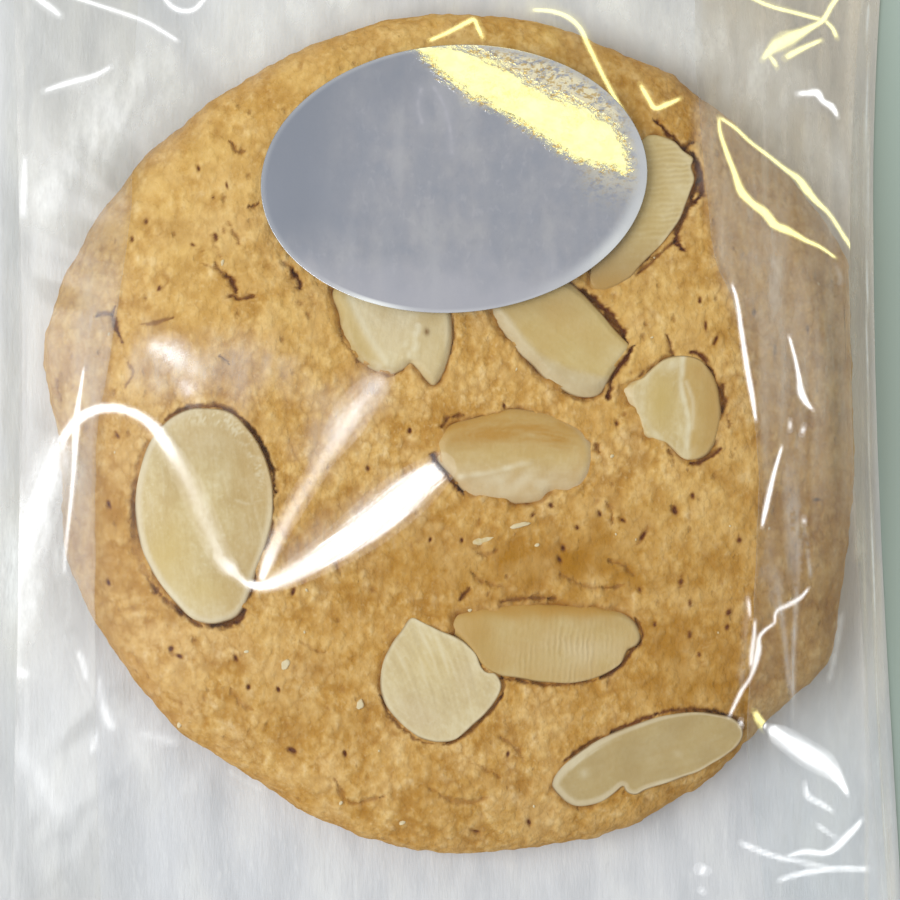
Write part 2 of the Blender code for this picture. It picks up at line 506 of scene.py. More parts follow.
# ---- the flakes, read off the view from above ----------------------------------------------
# outline: points round the flake, hidden parts finished under the sticker
# rise: how far its middle stands over the crust; tip: its fall, mm per mm, to the right and
# towards the top; grain: direction of its fibres in degrees; tan: how brown it is
FLAKES = {
    "flake_a": dict(
        outline=((205, 409), (222, 410), (236, 417), (248, 430), (259, 446), (266, 462), (271, 480), (273, 500),
                 (272, 518), (268, 537), (262, 556), (255, 575), (250, 592), (244, 606), (236, 616), (226, 621),
                 (213, 624), (200, 622), (188, 616), (176, 604), (163, 588), (151, 570), (142, 550), (137, 530),
                 (135, 510), (136, 490), (140, 470), (146, 450), (155, 434), (166, 422), (180, 413), (192, 409)),
        rise=0.62, tip=(0.012, 0.0), grain=97.0, tan=0.12, rim=1.0, gap=0.9),
    "flake_b": dict(
        outline=((332, 292), (338, 312), (342, 330), (348, 345), (355, 357), (366, 366), (378, 372), (390, 374),
                 (398, 372), (406, 367), (411, 363), (418, 370), (425, 379), (433, 386), (440, 380), (446, 368),
                 (450, 352), (452, 335), (451, 320), (449, 308), (440, 290), (400, 276), (350, 276)),
        rise=0.5, tip=(-0.01, 0.0), grain=80.0, tan=0.05, rim=0.8, gap=0.6),
    "flake_c": dict(
        outline=((493, 316), (500, 328), (510, 342), (518, 352), (533, 365), (545, 378), (560, 388), (573, 395),
                 (590, 397), (600, 394), (606, 385), (611, 375), (618, 364), (626, 353), (629, 346), (622, 338),
                 (610, 325), (600, 313), (590, 302), (580, 292), (565, 280), (540, 272), (510, 285), (493, 300)),
        rise=0.6, tip=(0.02, 0.015), grain=-35.0, tan=0.35, rim=1.3, gap=0.9),
    "flake_d": dict(
        outline=((642, 140), (652, 134), (665, 136), (676, 141), (684, 150), (694, 157), (692, 166), (695, 178),
                 (691, 190), (686, 203), (680, 218), (672, 230), (662, 243), (650, 255), (638, 268), (628, 279),
                 (618, 287), (609, 292), (600, 293), (590, 284), (596, 235), (615, 170)),
        rise=0.75, tip=(0.0, 0.0), grain=4.0, tan=0.18, rim=0.7, gap=0.8),
    "flake_e": dict(
        outline=((618, 392), (620, 383), (640, 379), (650, 371), (658, 364), (668, 358), (680, 356), (692, 357),
                 (702, 361), (708, 368), (714, 377), (718, 388), (720, 400), (721, 412), (720, 425), (718, 436),
                 (714, 446), (706, 455), (696, 459), (686, 459), (679, 455), (673, 449), (665, 443), (655, 440),
                 (646, 436), (641, 428), (638, 418), (632, 408), (624, 400)),
        rise=0.62, tip=(0.0, 0.0), grain=88.0, tan=0.22, rim=0.8, gap=0.8),
    "flake_f": dict(
        outline=((438, 440), (437, 450), (438, 460), (444, 468), (452, 477), (460, 487), (468, 494), (478, 498),
                 (490, 501), (505, 503), (520, 504), (535, 503), (545, 500), (551, 493), (560, 495), (572, 493),
                 (582, 488), (588, 480), (592, 470), (594, 458), (593, 446), (588, 436), (580, 427), (570, 420),
                 (555, 415), (540, 412), (525, 410), (510, 409), (495, 412), (480, 416), (465, 420), (452, 424),
                 (443, 431)),
        rise=0.5, tip=(0.0, -0.02), grain=2.0, tan=0.30, rim=0.9, gap=0.55),
    "flake_g": dict(
        outline=((446, 626), (452, 615), (464, 607), (482, 602), (505, 600), (530, 600), (552, 602), (575, 602), (595, 602),
                 (610, 607), (625, 614), (635, 623), (640, 633), (640, 640), (636, 646), (628, 650), (624, 657),
                 (620, 664), (610, 671), (598, 677), (583, 681), (568, 683), (552, 682), (535, 681), (515, 677),
                 (500, 675), (485, 668), (470, 652), (456, 638)),
        rise=0.42, tip=(0.0, 0.03), grain=86.0, tan=0.25, rim=0.9, gap=0.7),
    "flake_h": dict(
        outline=((414, 618), (420, 621), (430, 626), (440, 631), (452, 636), (462, 641), (470, 648), (476, 655),
                 (479, 663), (483, 670), (488, 673), (494, 673), (498, 677), (501, 684), (500, 691), (496, 699),
                 (490, 708), (483, 716), (474, 724), (465, 732), (456, 739), (446, 742), (434, 742), (420, 738),
                 (410, 731), (400, 722), (391, 712), (385, 702), (381, 690), (381, 678), (383, 665), (387, 654),
                 (393, 643), (400, 633), (406, 624), (410, 619)),
        rise=0.80, tip=(0.0, 0.0), grain=-38.0, tan=0.0, rim=0.6, gap=0.55),
    "flake_i": dict(
        outline=((553, 786), (556, 777), (563, 768), (572, 760), (582, 752), (595, 744), (608, 737), (620, 732),
                 (635, 726), (650, 721), (665, 717), (680, 715), (700, 714), (718, 716), (733, 720), (742, 727),
                 (745, 735), (743, 743), (737, 751), (726, 759), (712, 767), (700, 774), (686, 779), (672, 784),
                 (658, 788), (645, 793), (638, 797), (631, 796), (627, 793), (624, 788), (616, 795), (608, 801),
                 (600, 805), (588, 808), (577, 808), (568, 804), (560, 797), (555, 791)),
        rise=0.85, tip=(-0.02, 0.0), grain=16.0, tan=0.16, rim=0.9, gap=0.8),
    "flake_j": dict(
        outline=((469, 546), (469, 539), (476, 535), (486, 533), (496, 533), (500, 537), (493, 543), (482, 547), (474, 549)),
        rise=0.10, tip=(0.0, 0.0), grain=10.0, tan=0.12, rim=0.5, gap=0.15),
}

# places where the crust laps over a flake: place and size in pixels, how much
LAPS = {
    "flake_e": ((618, 394, 10, 13, 0.55), (640, 378, 10, 6, 0.4)),
    "flake_f": ((560, 414, 26, 6, 0.6), (440, 436, 8, 12, 0.6)),
    "flake_g": ((466, 604, 20, 7, 0.8), (520, 598, 46, 7, 1.0), (590, 599, 40, 7, 0.9), (446, 624, 8, 14, 0.9)),
    "flake_j": ((484, 540, 30, 12, 0.75),),
    "flake_c": ((510, 350, 12, 12, 0.5),),
    "flake_h": ((388, 668, 6, 24, 0.5),),
    "flake_d": ((604, 293, 16, 9, 1.0),),
}

# cracks in the crust: half-width in pixels, depth in mm, points
CRACKS = (
    (2.2, 0.7, ((655, 118), (668, 130), (686, 148), (694, 152))),
    (1.6, 0.6, ((686, 148), (690, 142), (697, 140))),
    (3.4, 0.9, ((692, 155), (699, 165), (701, 180), (702, 193), (697, 200))),
    (2.6, 0.8, ((699, 180), (690, 205), (680, 225), (677, 240), (684, 250))),
    (1.8, 0.6, ((677, 240), (662, 252), (650, 264), (636, 275))),
    (3.4, 0.9, ((582, 291), (599, 305), (611, 317), (621, 330), (627, 341))),
    (2.6, 0.8, ((633, 347), (627, 357), (618, 368), (612, 378), (608, 398))),
    (1.0, 0.26, ((498, 322), (511, 341), (525, 356), (540, 371))),
    (1.0, 0.22, ((562, 391), (575, 398), (590, 401))),
    (5.0, 0.30, ((532, 364), (548, 378), (568, 390))),
    (1.3, 0.40, ((452, 316), (453, 336), (450, 354))),
    (1.1, 0.34, ((339, 328), (346, 343), (357, 359), (369, 367), (390, 375), (404, 369))),
    (1.9, 0.6, ((668, 335), (672, 358))),
    (2.4, 0.7, ((690, 352), (700, 354), (708, 365), (716, 378))),
    (2.4, 0.7, ((722, 385), (725, 402), (722, 412))),
    (1.8, 0.5, ((728, 415), (729, 428))),
    (2.4, 0.7, ((722, 448), (714, 455), (702, 461), (690, 463))),
    (1.8, 0.5, ((673, 455), (668, 449))),
    (1.8, 0.5, ((645, 371), (640, 376))),
    (2.2, 0.7, ((566, 762), (577, 753), (590, 745), (604, 737))),
    (2.6, 0.8, ((612, 733), (625, 728), (645, 720), (660, 715))),
    (2.6, 0.7, ((654, 716), (670, 712), (690, 711), (708, 712), (727, 716))),
    (2.2, 0.6, ((460, 600), (470, 588))),
    (2.0, 0.6, ((500, 602), (530, 598), (555, 599))),
    (1.8, 0.6, ((636, 618), (642, 630), (642, 642), (636, 649))),
    (1.8, 0.5, ((600, 679), (612, 673), (622, 663))),
    (2.2, 0.7, ((640, 640), (629, 656), (617, 669), (600, 678))),
    (3.8, 0.9, ((214, 625), (226, 624), (236, 620), (244, 610))),
    (2.2, 0.6, ((176, 607), (188, 619), (202, 627))),
    (1.9, 0.6, ((93, 316), (102, 312), (112, 314))),
    (2.2, 0.7, ((113, 306), (112, 320), (118, 332), (121, 342))),
    (1.8, 0.5, ((140, 324), (152, 323), (162, 320), (172, 318))),
    (2.6, 0.7, ((225, 274), (232, 284), (236, 292))),
    (2.2, 0.6, ((231, 295), (241, 299), (254, 296))),
    (1.7, 0.5, ((214, 262), (222, 272))),
    (2.6, 0.7, ((292, 270), (298, 278), (300, 288))),
    (1.9, 0.5, ((228, 140), (236, 150), (245, 150))),
    (2.4, 0.6, ((248, 206), (258, 203))),
    (2.0, 0.5, ((435, 452), (440, 462), (446, 469))),
    (1.9, 0.5, ((458, 487), (464, 494))),
    (2.0, 0.6, ((443, 426), (449, 417), (465, 415))),
    (1.7, 0.5, ((596, 444), (600, 452))),
    (2.6, 0.35, ((478, 553), (488, 554), (497, 550))),
    (1.6, 0.5, ((220, 356), (230, 364))),
    (1.6, 0.5, ((126, 362), (132, 372), (124, 388))),
    (1.7, 0.5, ((52, 378), (52, 390), (58, 400))),
    # painted shadow of flake a along its left side, drawn as a shallow crack
    (3.2, 0.35, ((150, 440), (140, 462), (134, 490), (132, 520), (135, 548), (145, 574), (156, 592))),
    (2.2, 0.6, ((160, 426), (172, 415), (188, 408), (206, 406), (224, 408), (240, 418), (256, 436), (270, 466), (276, 492))),
    # painted shadow of flake a along its lower left side, drawn as a crack
    (2.0, 0.5, ((152, 586), (165, 600), (180, 614))),
    (1.8, 0.5, ((490, 674), (500, 677), (504, 686), (501, 698))),
    (1.8, 0.6, ((503, 694), (495, 706), (484, 718), (470, 731), (456, 741), (444, 745))),
    (1.5, 0.5, ((436, 745), (418, 741), (402, 728), (388, 712), (380, 694))),
    (1.8, 0.6, ((463, 640), (472, 646), (478, 656), (482, 667), (488, 671))),
    (1.8, 0.6, ((500, 678), (520, 681), (545, 684), (571, 684), (596, 680))),
    (2.6, 0.8, ((432, 455), (440, 466), (452, 480), (462, 491))),
    (2.0, 0.45, ((228, 222), (236, 236), (238, 244))),
    (1.6, 0.35, ((210, 234), (216, 248), (222, 258))),
    (1.6, 0.3, ((200, 262), (214, 268), (224, 276))),
    (1.8, 0.35, ((282, 262), (292, 268), (298, 276))),
    (2.2, 0.4, ((336, 780), (342, 800), (350, 806), (372, 802), (384, 798))),
    (1.8, 0.35, ((430, 790), (448, 800), (470, 804), (492, 798))),
    (1.8, 0.35, ((500, 738), (516, 748), (524, 762))),
    (1.8, 0.35, ((470, 762), (486, 770), (500, 780))),
    (1.6, 0.35, ((610, 560), (624, 566), (634, 576))),
    (1.6, 0.35, ((470, 572), (484, 582), (504, 586))),
    (1.8, 0.35, ((560, 574), (580, 584), (600, 588), (622, 586))),
    (1.6, 0.35, ((604, 500), (612, 512), (612, 524))),
    (1.6, 0.3, ((326, 548), (336, 560), (340, 574))),
    (1.6, 0.3, ((300, 640), (312, 650), (326, 652))),
    (1.6, 0.3, ((230, 690), (240, 704), (254, 712))),
    (1.6, 0.3, ((160, 262), (166, 280), (160, 290))),
)
# separate pits: place, half-width and half-length in pixels, degrees from upright
PITS = (
    (475, 835, 2.6, 4.5, 70), (530, 825, 2.4, 4.0, 20), (508, 755, 2.2, 4.0, -10), (345, 755, 2.2, 3.6, 15),
    (675, 510, 3.0, 7.0, 6), (643, 536, 2.6, 10.0, -28), (681, 582, 2.8, 9.0, -6), (677, 438, 2.2, 5.0, 0),
    (504, 405, 2.0, 4.0, 10), (410, 430, 2.2, 3.6, 0), (368, 468, 2.0, 3.2, 20), (430, 540, 2.0, 3.4, -15),
    (462, 540, 2.0, 3.0, 10), (563, 548, 2.4, 4.0, 10), (740, 540, 2.8, 5.0, 8), (730, 612, 3.0, 4.5, -20),
    (728, 628, 2.6, 4.0, 0), (693, 495, 2.4, 4.0, 10), (690, 603, 2.2, 4.0, 10), (690, 635, 2.2, 4.5, 5),
    (170, 650, 2.6, 3.2, 0), (178, 657, 2.4, 4.5, 70), (235, 658, 2.4, 4.5, 20), (291, 752, 3.0, 5.0, 60),
    (278, 690, 2.0, 3.6, 10), (248, 688, 2.2, 2.8, 0), (293, 592, 2.4, 4.5, -15), (107, 505, 2.4, 5.0, 20),
    (106, 583, 2.2, 4.0, 5), (116, 435, 2.0, 4.0, 30), (215, 236, 2.2, 5.5, 12), (144, 220, 2.2, 3.6, 0),
    (130, 238, 1.8, 3.4, 0), (158, 287, 2.2, 4.0, -20), (197, 167, 1.8, 3.2, 20), (212, 196, 1.8, 2.8, 0),
    (223, 229, 1.8, 4.0, 10), (226, 184, 1.6, 4.0, 15), (192, 244, 1.8, 3.6, 50), (700, 300, 2.2, 4.0, 0),
    (755, 312, 2.2, 5.0, 0), (776, 350, 2.4, 9.0, 0), (820, 500, 2.0, 6.0, 85), (810, 330, 2.0, 5.0, 0),
    (716, 340, 2.0, 8.0, -20), (706, 325, 1.8, 8.0, 5), (533, 515, 2.0, 4.0, -30), (551, 505, 2.2, 3.4, 10),
    (600, 515, 2.0, 4.0, 20), (617, 424, 1.8, 3.6, 10), (560, 560, 2.0, 4.0, 30), (577, 528, 2.0, 3.4, 0),
    (622, 520, 2.0, 4.0, 60), (655, 625, 2.0, 4.0, 0), (700, 655, 2.0, 4.0, 10), (640, 590, 2.0, 4.0, 20),
)

OUTLINE = (
    (472, 15), (510, 17), (568, 31), (600, 45), (638, 59), (677, 77), (699, 96), (724, 115), (760, 150), (800, 190),
    (830, 225), (850, 265), (857, 330), (858, 390), (857, 450), (850, 520), (840, 600), (830, 663), (801, 692),
    (772, 715), (745, 743), (734, 759), (707, 782), (686, 795), (657, 810), (638, 822), (600, 836), (549, 845),
    (510, 851), (463, 854), (415, 851), (377, 841), (338, 828), (300, 810), (268, 787), (239, 770), (210, 751),
    (178, 732), (159, 711), (134, 680), (115, 652), (96, 625), (80, 593), (66, 560), (62, 520), (62, 480), (58, 430),
    (47, 384), (43, 356), (44, 338), (49, 316), (57, 300), (63, 277), (77, 251), (88, 230), (103, 209), (122, 186),
    (145, 155), (191, 117), (230, 88), (300, 51), (338, 34), (377, 21), (415, 16),
)

flake_lines = {name: spline(pxs(f["outline"], 11.0), 4, closed=True) for name, f in FLAKES.items()}


def inside(x, y, loop):
    """True for the points inside a closed loop."""
    hit = np.zeros(np.shape(x), bool)
    n = len(loop)
    for k in range(n):
        (ax, ay), (bx, by) = loop[k], loop[(k + 1) % n]
        cross = (ay > y) != (by > y)
        if not np.any(cross):
            continue
        where = ax + (y - ay) * (bx - ax) / (by - ay if abs(by - ay) > 1e-12 else 1e-12)
        hit ^= cross & (x < where)
    return hit


def edge_distance(x, y, loop):
    """Distance to a closed loop, negative inside."""
    lo, hi = loop.min(0) - 2.5, loop.max(0) + 2.5
    near = (x > lo[0]) & (x < hi[0]) & (y > lo[1]) & (y < hi[1])
    out = np.full(np.shape(x), 9.0)
    if np.any(near):
        xs, ys = x[near], y[near]
        d, _, _ = line_distance(xs, ys, np.concatenate([loop, loop[:1]]))
        out[near] = np.where(inside(xs, ys, loop), -d, d)
    return out


# ---- the biscuit -------------------------------------------------------------------------
outline_mm = pxs(OUTLINE, 6.0) - (BX, BY)
o_angle = np.arctan2(outline_mm[:, 1], outline_mm[:, 0])
o_radius = np.hypot(outline_mm[:, 0], outline_mm[:, 1])
order = np.argsort(o_angle)
o_angle, o_radius = o_angle[order], o_radius[order]
o_angle = np.concatenate([o_angle[-4:] - 2 * math.pi, o_angle, o_angle[:4] + 2 * math.pi])
o_radius = np.concatenate([o_radius[-4:], o_radius, o_radius[:4]])
fine_angle = np.linspace(-math.pi, math.pi, 1441)
raw = np.interp(fine_angle, o_angle, o_radius)
pad = 6
wrapped = np.concatenate([raw[-1 - pad:-1], raw, raw[1:1 + pad]])
soft = np.convolve(wrapped, np.hanning(2 * pad + 1) / np.hanning(2 * pad + 1).sum(), mode="same")[pad:-pad]


def rim_r(angle):
    """Radius of the biscuit's outline."""
    return np.interp(angle, fine_angle, soft)


TOP, MIDDLE, FOOT = 11.3, 4.4, 0.55


def profile(rho):
    """Height of the crust over the radius share, without its relief."""
    body = np.clip(1 - np.clip(rho, 0, 1) ** 5.5, 0, 1) ** 0.62
    return MIDDLE + (TOP - MIDDLE) * (0.90 * body + 0.10 * (1 - np.clip(rho, 0, 1) ** 2))


def crust(x, y, fine=True):
    """Height of the crust at points of the biscuit, with its relief, and what its colour needs."""
    dx, dy = x - BX, y - BY
    a = np.arctan2(dy, dx)
    rho = np.hypot(dx, dy) / rim_r(a)
    z = profile(rho)
    z = z + 0.26 * lattice_noise(x, y, 17.0, 3) + 0.14 * lattice_noise(x, y, 8.0, 5)
    if not fine:
        return z
    # soft lumps and crumb
    lumps = 0.13 * layered(x, y, 4.6, 11, 2)
    crumb = 0.07 * layered(x * 1.15, y * 0.85, 1.9, 23, 3, 0.55)
    # rounded grains of the crumb, standing out more in some places
    near, _, _ = cells(x + 0.25 * lattice_noise(x, y, 1.3, 27), y + 0.25 * lattice_noise(x, y, 1.3, 29), 1.0, 25, 1.25)
    crumb = crumb + 0.13 * (0.42 - np.minimum(near, 1.0) ** 2) * np.clip(0.65 + 0.9 * lattice_noise(x, y, 5.0, 21), 0.15, 1.2)
    z = z + lumps + crumb
    hole = np.zeros_like(z)          # how deep in a pit or crack, 0 to 1
    # scattered pits, short and mostly upright
    rng = np.random.RandomState(41)
    spots = [(p[0], p[1], p[2] * 0.1, p[3] * 0.1, p[4], 1.0) for p in PITS]
    spots = [(*px(sx, sy, 11.0), w, l, t, s) for sx, sy, w, l, t, s in spots]
    count = 0
    while count < 420:
        t, r = rng.rand() * 2 * math.pi, 0.985 * math.sqrt(rng.rand())
        rr = r * np.interp(math.atan2(math.sin(t), math.cos(t)), fine_angle, soft)
        sx, sy = BX + rr * math.cos(t), BY + rr * math.sin(t)
        size = rng.rand() ** 2.6
        spots.append((sx, sy, 0.15 + 0.13 * size + 0.05 * rng.rand(), 0.22 + 0.42 * size * rng.rand() + 0.14 * rng.rand(),
                      rng.normal(0, 32), 0.10 + 0.20 * rng.rand() + 0.34 * size))
        count += 1
    order = np.argsort(x)
    xs = x[order]
    for sx, sy, w, l, turn, deep in spots:
        lo, hi = np.searchsorted(xs, sx - 1.6), np.searchsorted(xs, sx + 1.6)
        k = order[lo:hi]
        k = k[np.abs(y[k] - sy) < 1.6]
        if not len(k):
            continue
        c, s = math.cos(math.radians(turn)), math.sin(math.radians(turn))
        ex, ey = x[k] - sx, y[k] - sy
        u, v = (ex * c + ey * s) / w, (-ex * s + ey * c) / l
        d = np.sqrt(u * u + v * v) + 0.45 * lattice_noise(x[k], y[k], 0.6, 77)
        g = 1 - smooth(d, 0.15, 1.6)
        z[k] -= g * deep * (0.20 + 0.55 * w)
        hole[k] = np.maximum(hole[k], g * deep)
    # cracks
    wob = 0.17 * lattice_noise(x, y, 1.1, 31) + 0.13 * lattice_noise(x, y, 0.45, 33)
    torn = 1 + 0.8 * lattice_noise(x, y, 0.8, 35) + 0.35 * lattice_noise(x, y, 0.35, 37)
    for w, deep, pts in CRACKS:
        line = spline(pxs(pts, 11.0), 4)
        lo, hi = line.min(0) - 1.8, line.max(0) + 1.8
        k = np.nonzero((x > lo[0]) & (x < hi[0]) & (y > lo[1]) & (y < hi[1]))[0]
        if not len(k):
            continue
        d, along, _ = line_distance(x[k] + wob[k], y[k] + wob[k] * 0.7, line)
        half = 0.1 * w * (0.5 + 0.75 * np.sin(np.pi * np.clip(along, 0.02, 0.98)) ** 0.6) * np.clip(torn[k], 0.25, 1.9)
        g = 1 - smooth(d / np.maximum(half, 0.05), 0.15, 1.75)
        z[k] -= g * deep * 0.8
        hole[k] = np.maximum(hole[k], g * min(1.0, deep * 1.3))
    # the groove round each flake
    groove_shade = np.zeros_like(z)
    for name, f in FLAKES.items():
        d = edge_distance(x, y, flake_lines[name])
        k = np.nonzero(d < 1.6)[0]
        if not len(k):
            continue
        ragged = 0.40 + 0.85 * lattice_noise(x[k], y[k], 3.4, 51) + 0.45 * lattice_noise(x[k], y[k], 0.9, 53)
        # in some places the crust laps over the flake's edge
        lap = smooth(0.05 - 0.75 * lattice_noise(x[k], y[k], 3.4, 51) + 0.25 * lattice_noise(x[k], y[k], 1.1, 57), 0.12, 0.42)
        for cx, cy, rx, ry, amount in LAPS.get(name, ()):
            qx, qy = px(cx, cy, 11.0)
            lap = np.maximum(lap, amount * np.exp(-((x[k] - qx) / (0.1 * rx)) ** 2 - ((y[k] - qy) / (0.1 * ry)) ** 2))
        lap = np.clip(lap, 0, 1)
        width = 0.20 + 0.50 * f["gap"] * np.clip(ragged, 0, 1.3)
        g = 1 - smooth(d[k] / width, -0.1, 1.5)
        g = np.where(d[k] < 0, 1.0, g) * (1 - 0.85 * lap)
        z[k] -= g * (0.08 + 0.36 * f["gap"] * np.clip(0.35 + ragged, 0.2, 1.2))
        z[k] += (0.10 + 0.30 * f["gap"]) * lap * np.exp(-((d[k] + 0.10) / 0.42) ** 2)
        # the groove's colour is a painted shadow of the flake, and touch a painted contact shadow right at its edge
        groove_shade[k] = np.maximum(groove_shade[k], g * np.clip(0.30 + 0.66 * ragged, 0.12, 1.0))
        touch = np.exp(-(np.maximum(d[k], 0.0) / 0.17) ** 2) * (1 - lap)
        groove_shade[k] = np.maximum(groove_shade[k], touch * np.clip(0.62 + 0.5 * lattice_noise(x[k], y[k], 2.2, 59), 0.1, 0.95))
        # the crust swells a little beside the groove
        swell = np.exp(-((d[k] - 0.9) / 0.45) ** 2) * np.clip(0.4 + lattice_noise(x[k], y[k], 1.7, 55), 0, 1)
        z[k] += np.where(d[k] > 0, 0.12 * swell, 0.0)
    return z, rho, hole, groove_shade, lumps, crumb


def disc(u, v):
    """The unit square onto the unit disc, cells kept nearly square."""
    a, b = 2 * u - 1, 2 * v - 1
    big = np.where(np.abs(a) > np.abs(b), a, b)
    zero = np.abs(big) < 1e-12
    ratio = np.where(np.abs(a) > np.abs(b), b / np.where(zero, 1, a), a / np.where(zero, 1, b))
    ang = np.where(np.abs(a) > np.abs(b), ratio * math.pi / 4, math.pi / 2 - ratio * math.pi / 4)
    x, y = big * np.cos(ang), big * np.sin(ang)
    return np.where(zero, 0, x), np.where(zero, 0, y)


def disc_mm(u, v):
    x, y = disc(u, v)
    rho = np.hypot(x, y)
    r = rho * rim_r(np.arctan2(y, x))
    k = np.where(rho > 1e-9, r / np.maximum(rho, 1e-9), 41.0)
    return BX + x * k, BY + y * k


def label_share(x, y):
    """Below 1 under the sticker."""
    c, s = math.cos(math.radians(LABEL_TILT)), math.sin(math.radians(LABEL_TILT))
    dx, dy = x - LABEL_X, y - LABEL_Y
    return np.hypot((dx * c + dy * s) / LABEL_HALF[0], (-dx * s + dy * c) / LABEL_HALF[1])


crack_lines = [spline(pxs(p, 11.0), 3) for _, _, p in CRACKS]


def biscuit_want(u, v, level):
    x, y = disc_mm(u, v)
    under = label_share(x, y) < 0.93
    if level == 0:
        return ~under
    near = np.zeros(len(x), bool)
    for line in flake_lines.values():
        d = edge_distance(x, y, line)
        near |= (d > -0.35) & (d < 0.75)
    for line in crack_lines:
        lo, hi = line.min(0) - 1, line.max(0) + 1
        k = np.nonzero((x > lo[0]) & (x < hi[0]) & (y > lo[1]) & (y < hi[1]))[0]
        if len(k):
            near[k] |= line_distance(x[k], y[k], line)[0] < (0.30 if level else 0.5)
    for p in PITS:
        sx, sy = px(p[0], p[1], 11.0)
        near |= np.hypot(x - sx, y - sy) < 0.45
    return near & ~under


def held_in(x, y, z):
    """Keeps points under the film and inside the walls of the gussets."""
    edge = np.where(x > 0, crease_x(1, y), -crease_x(-1, y))
    z = np.minimum(z, np.where(np.abs(x) < edge - 0.1, cover(x, y) - 0.62, 99.0))
    for side in (1, -1):
        kx, ex = crease_x(side, y) * side, side_x(side, y) * side
        up = np.clip((z - LIP) / np.maximum(crease_z(y) - LIP, 0.3), 0, 1)
        wall = kx + (ex - kx) * (1 - up ** (1 / 1.2)) - 0.70
        x = np.where(x * side > wall, wall * side, x)
    return x, z


def build_biscuit():
    uv, quads, tris, rim = tree_mesh(124, 124, 2, biscuit_want)
    x, y = disc_mm(uv[:, 0], uv[:, 1])
    z, rho, hole, groove_shade, lumps, crumb = crust(x, y)
    # near the rim the relief pushes outwards rather than up, and the film holds it all in
    a = np.arctan2(y - BY, x - BX)
    push = smooth(rho, 0.93, 1.0) * (lumps + crumb - 0.35 * hole)
    x, y = x + push * np.cos(a), y + push * np.sin(a)
    x, z = held_in(x, y, z)
    co = np.stack([x, y, z], -1)
    parts = [quads, tris]
    ring = np.array(rim)
    data = {"hole": hole, "groove_shade": groove_shade, "rho": rho, "relief": lumps + crumb}
    rows = [ring]
    extra = []
    steps = ((1.004, 3.4), (1.0, 2.4), (0.99, 1.5), (0.972, 0.9), (0.945, FOOT), (0.90, FOOT - 0.05))
    base = co[ring]
    ra = np.arctan2(base[:, 1] - BY, base[:, 0] - BX)
    rr = np.hypot(base[:, 0] - BX, base[:, 1] - BY)
    n0 = len(co)
    for k, (share, height) in enumerate(steps):
        r = rr * share
        ex, ey = BX + r * np.cos(ra), BY + r * np.sin(ra)
        bumps = 0.10 * layered(ra * 41, np.full_like(ra, height * 1.0), 1.6, 61, 3) + 0.12 * lattice_noise(ra * 41, np.full_like(ra, height), 5.0, 63)
        ex, ey = ex + bumps * np.cos(ra), ey + bumps * np.sin(ra)
        extra.append(np.stack([ex, ey, np.full_like(ex, height) + (0.25 * bumps if k < 4 else 0)], -1))
        rows.append(n0 + k * len(ring) + np.arange(len(ring)))
    co = np.concatenate([co] + extra)
    co[n0:, 0], co[n0:, 2] = held_in(co[n0:, 0], co[n0:, 1], co[n0:, 2])
    for upper, lower in zip(rows[:-1], rows[1:]):
        # the rim runs counter-clockwise seen from above
        parts.append(np.stack([upper, lower, np.roll(lower, -1), np.roll(upper, -1)], -1))
    middle = len(co)
    co = np.concatenate([co, [[BX, BY, FOOT - 0.1]]])
    last = rows[-1]
    parts.append(np.stack([np.roll(last, -1), last, np.full(len(last), middle)], -1))
    grow = len(co) - len(hole)
    for key in data:
        fill = 1.05 if key == "rho" else 0.0
        data[key] = np.concatenate([data[key], np.full(grow, fill)])
    return mixed_object("biscuit", co, parts, data)


biscuit = build_biscuit()


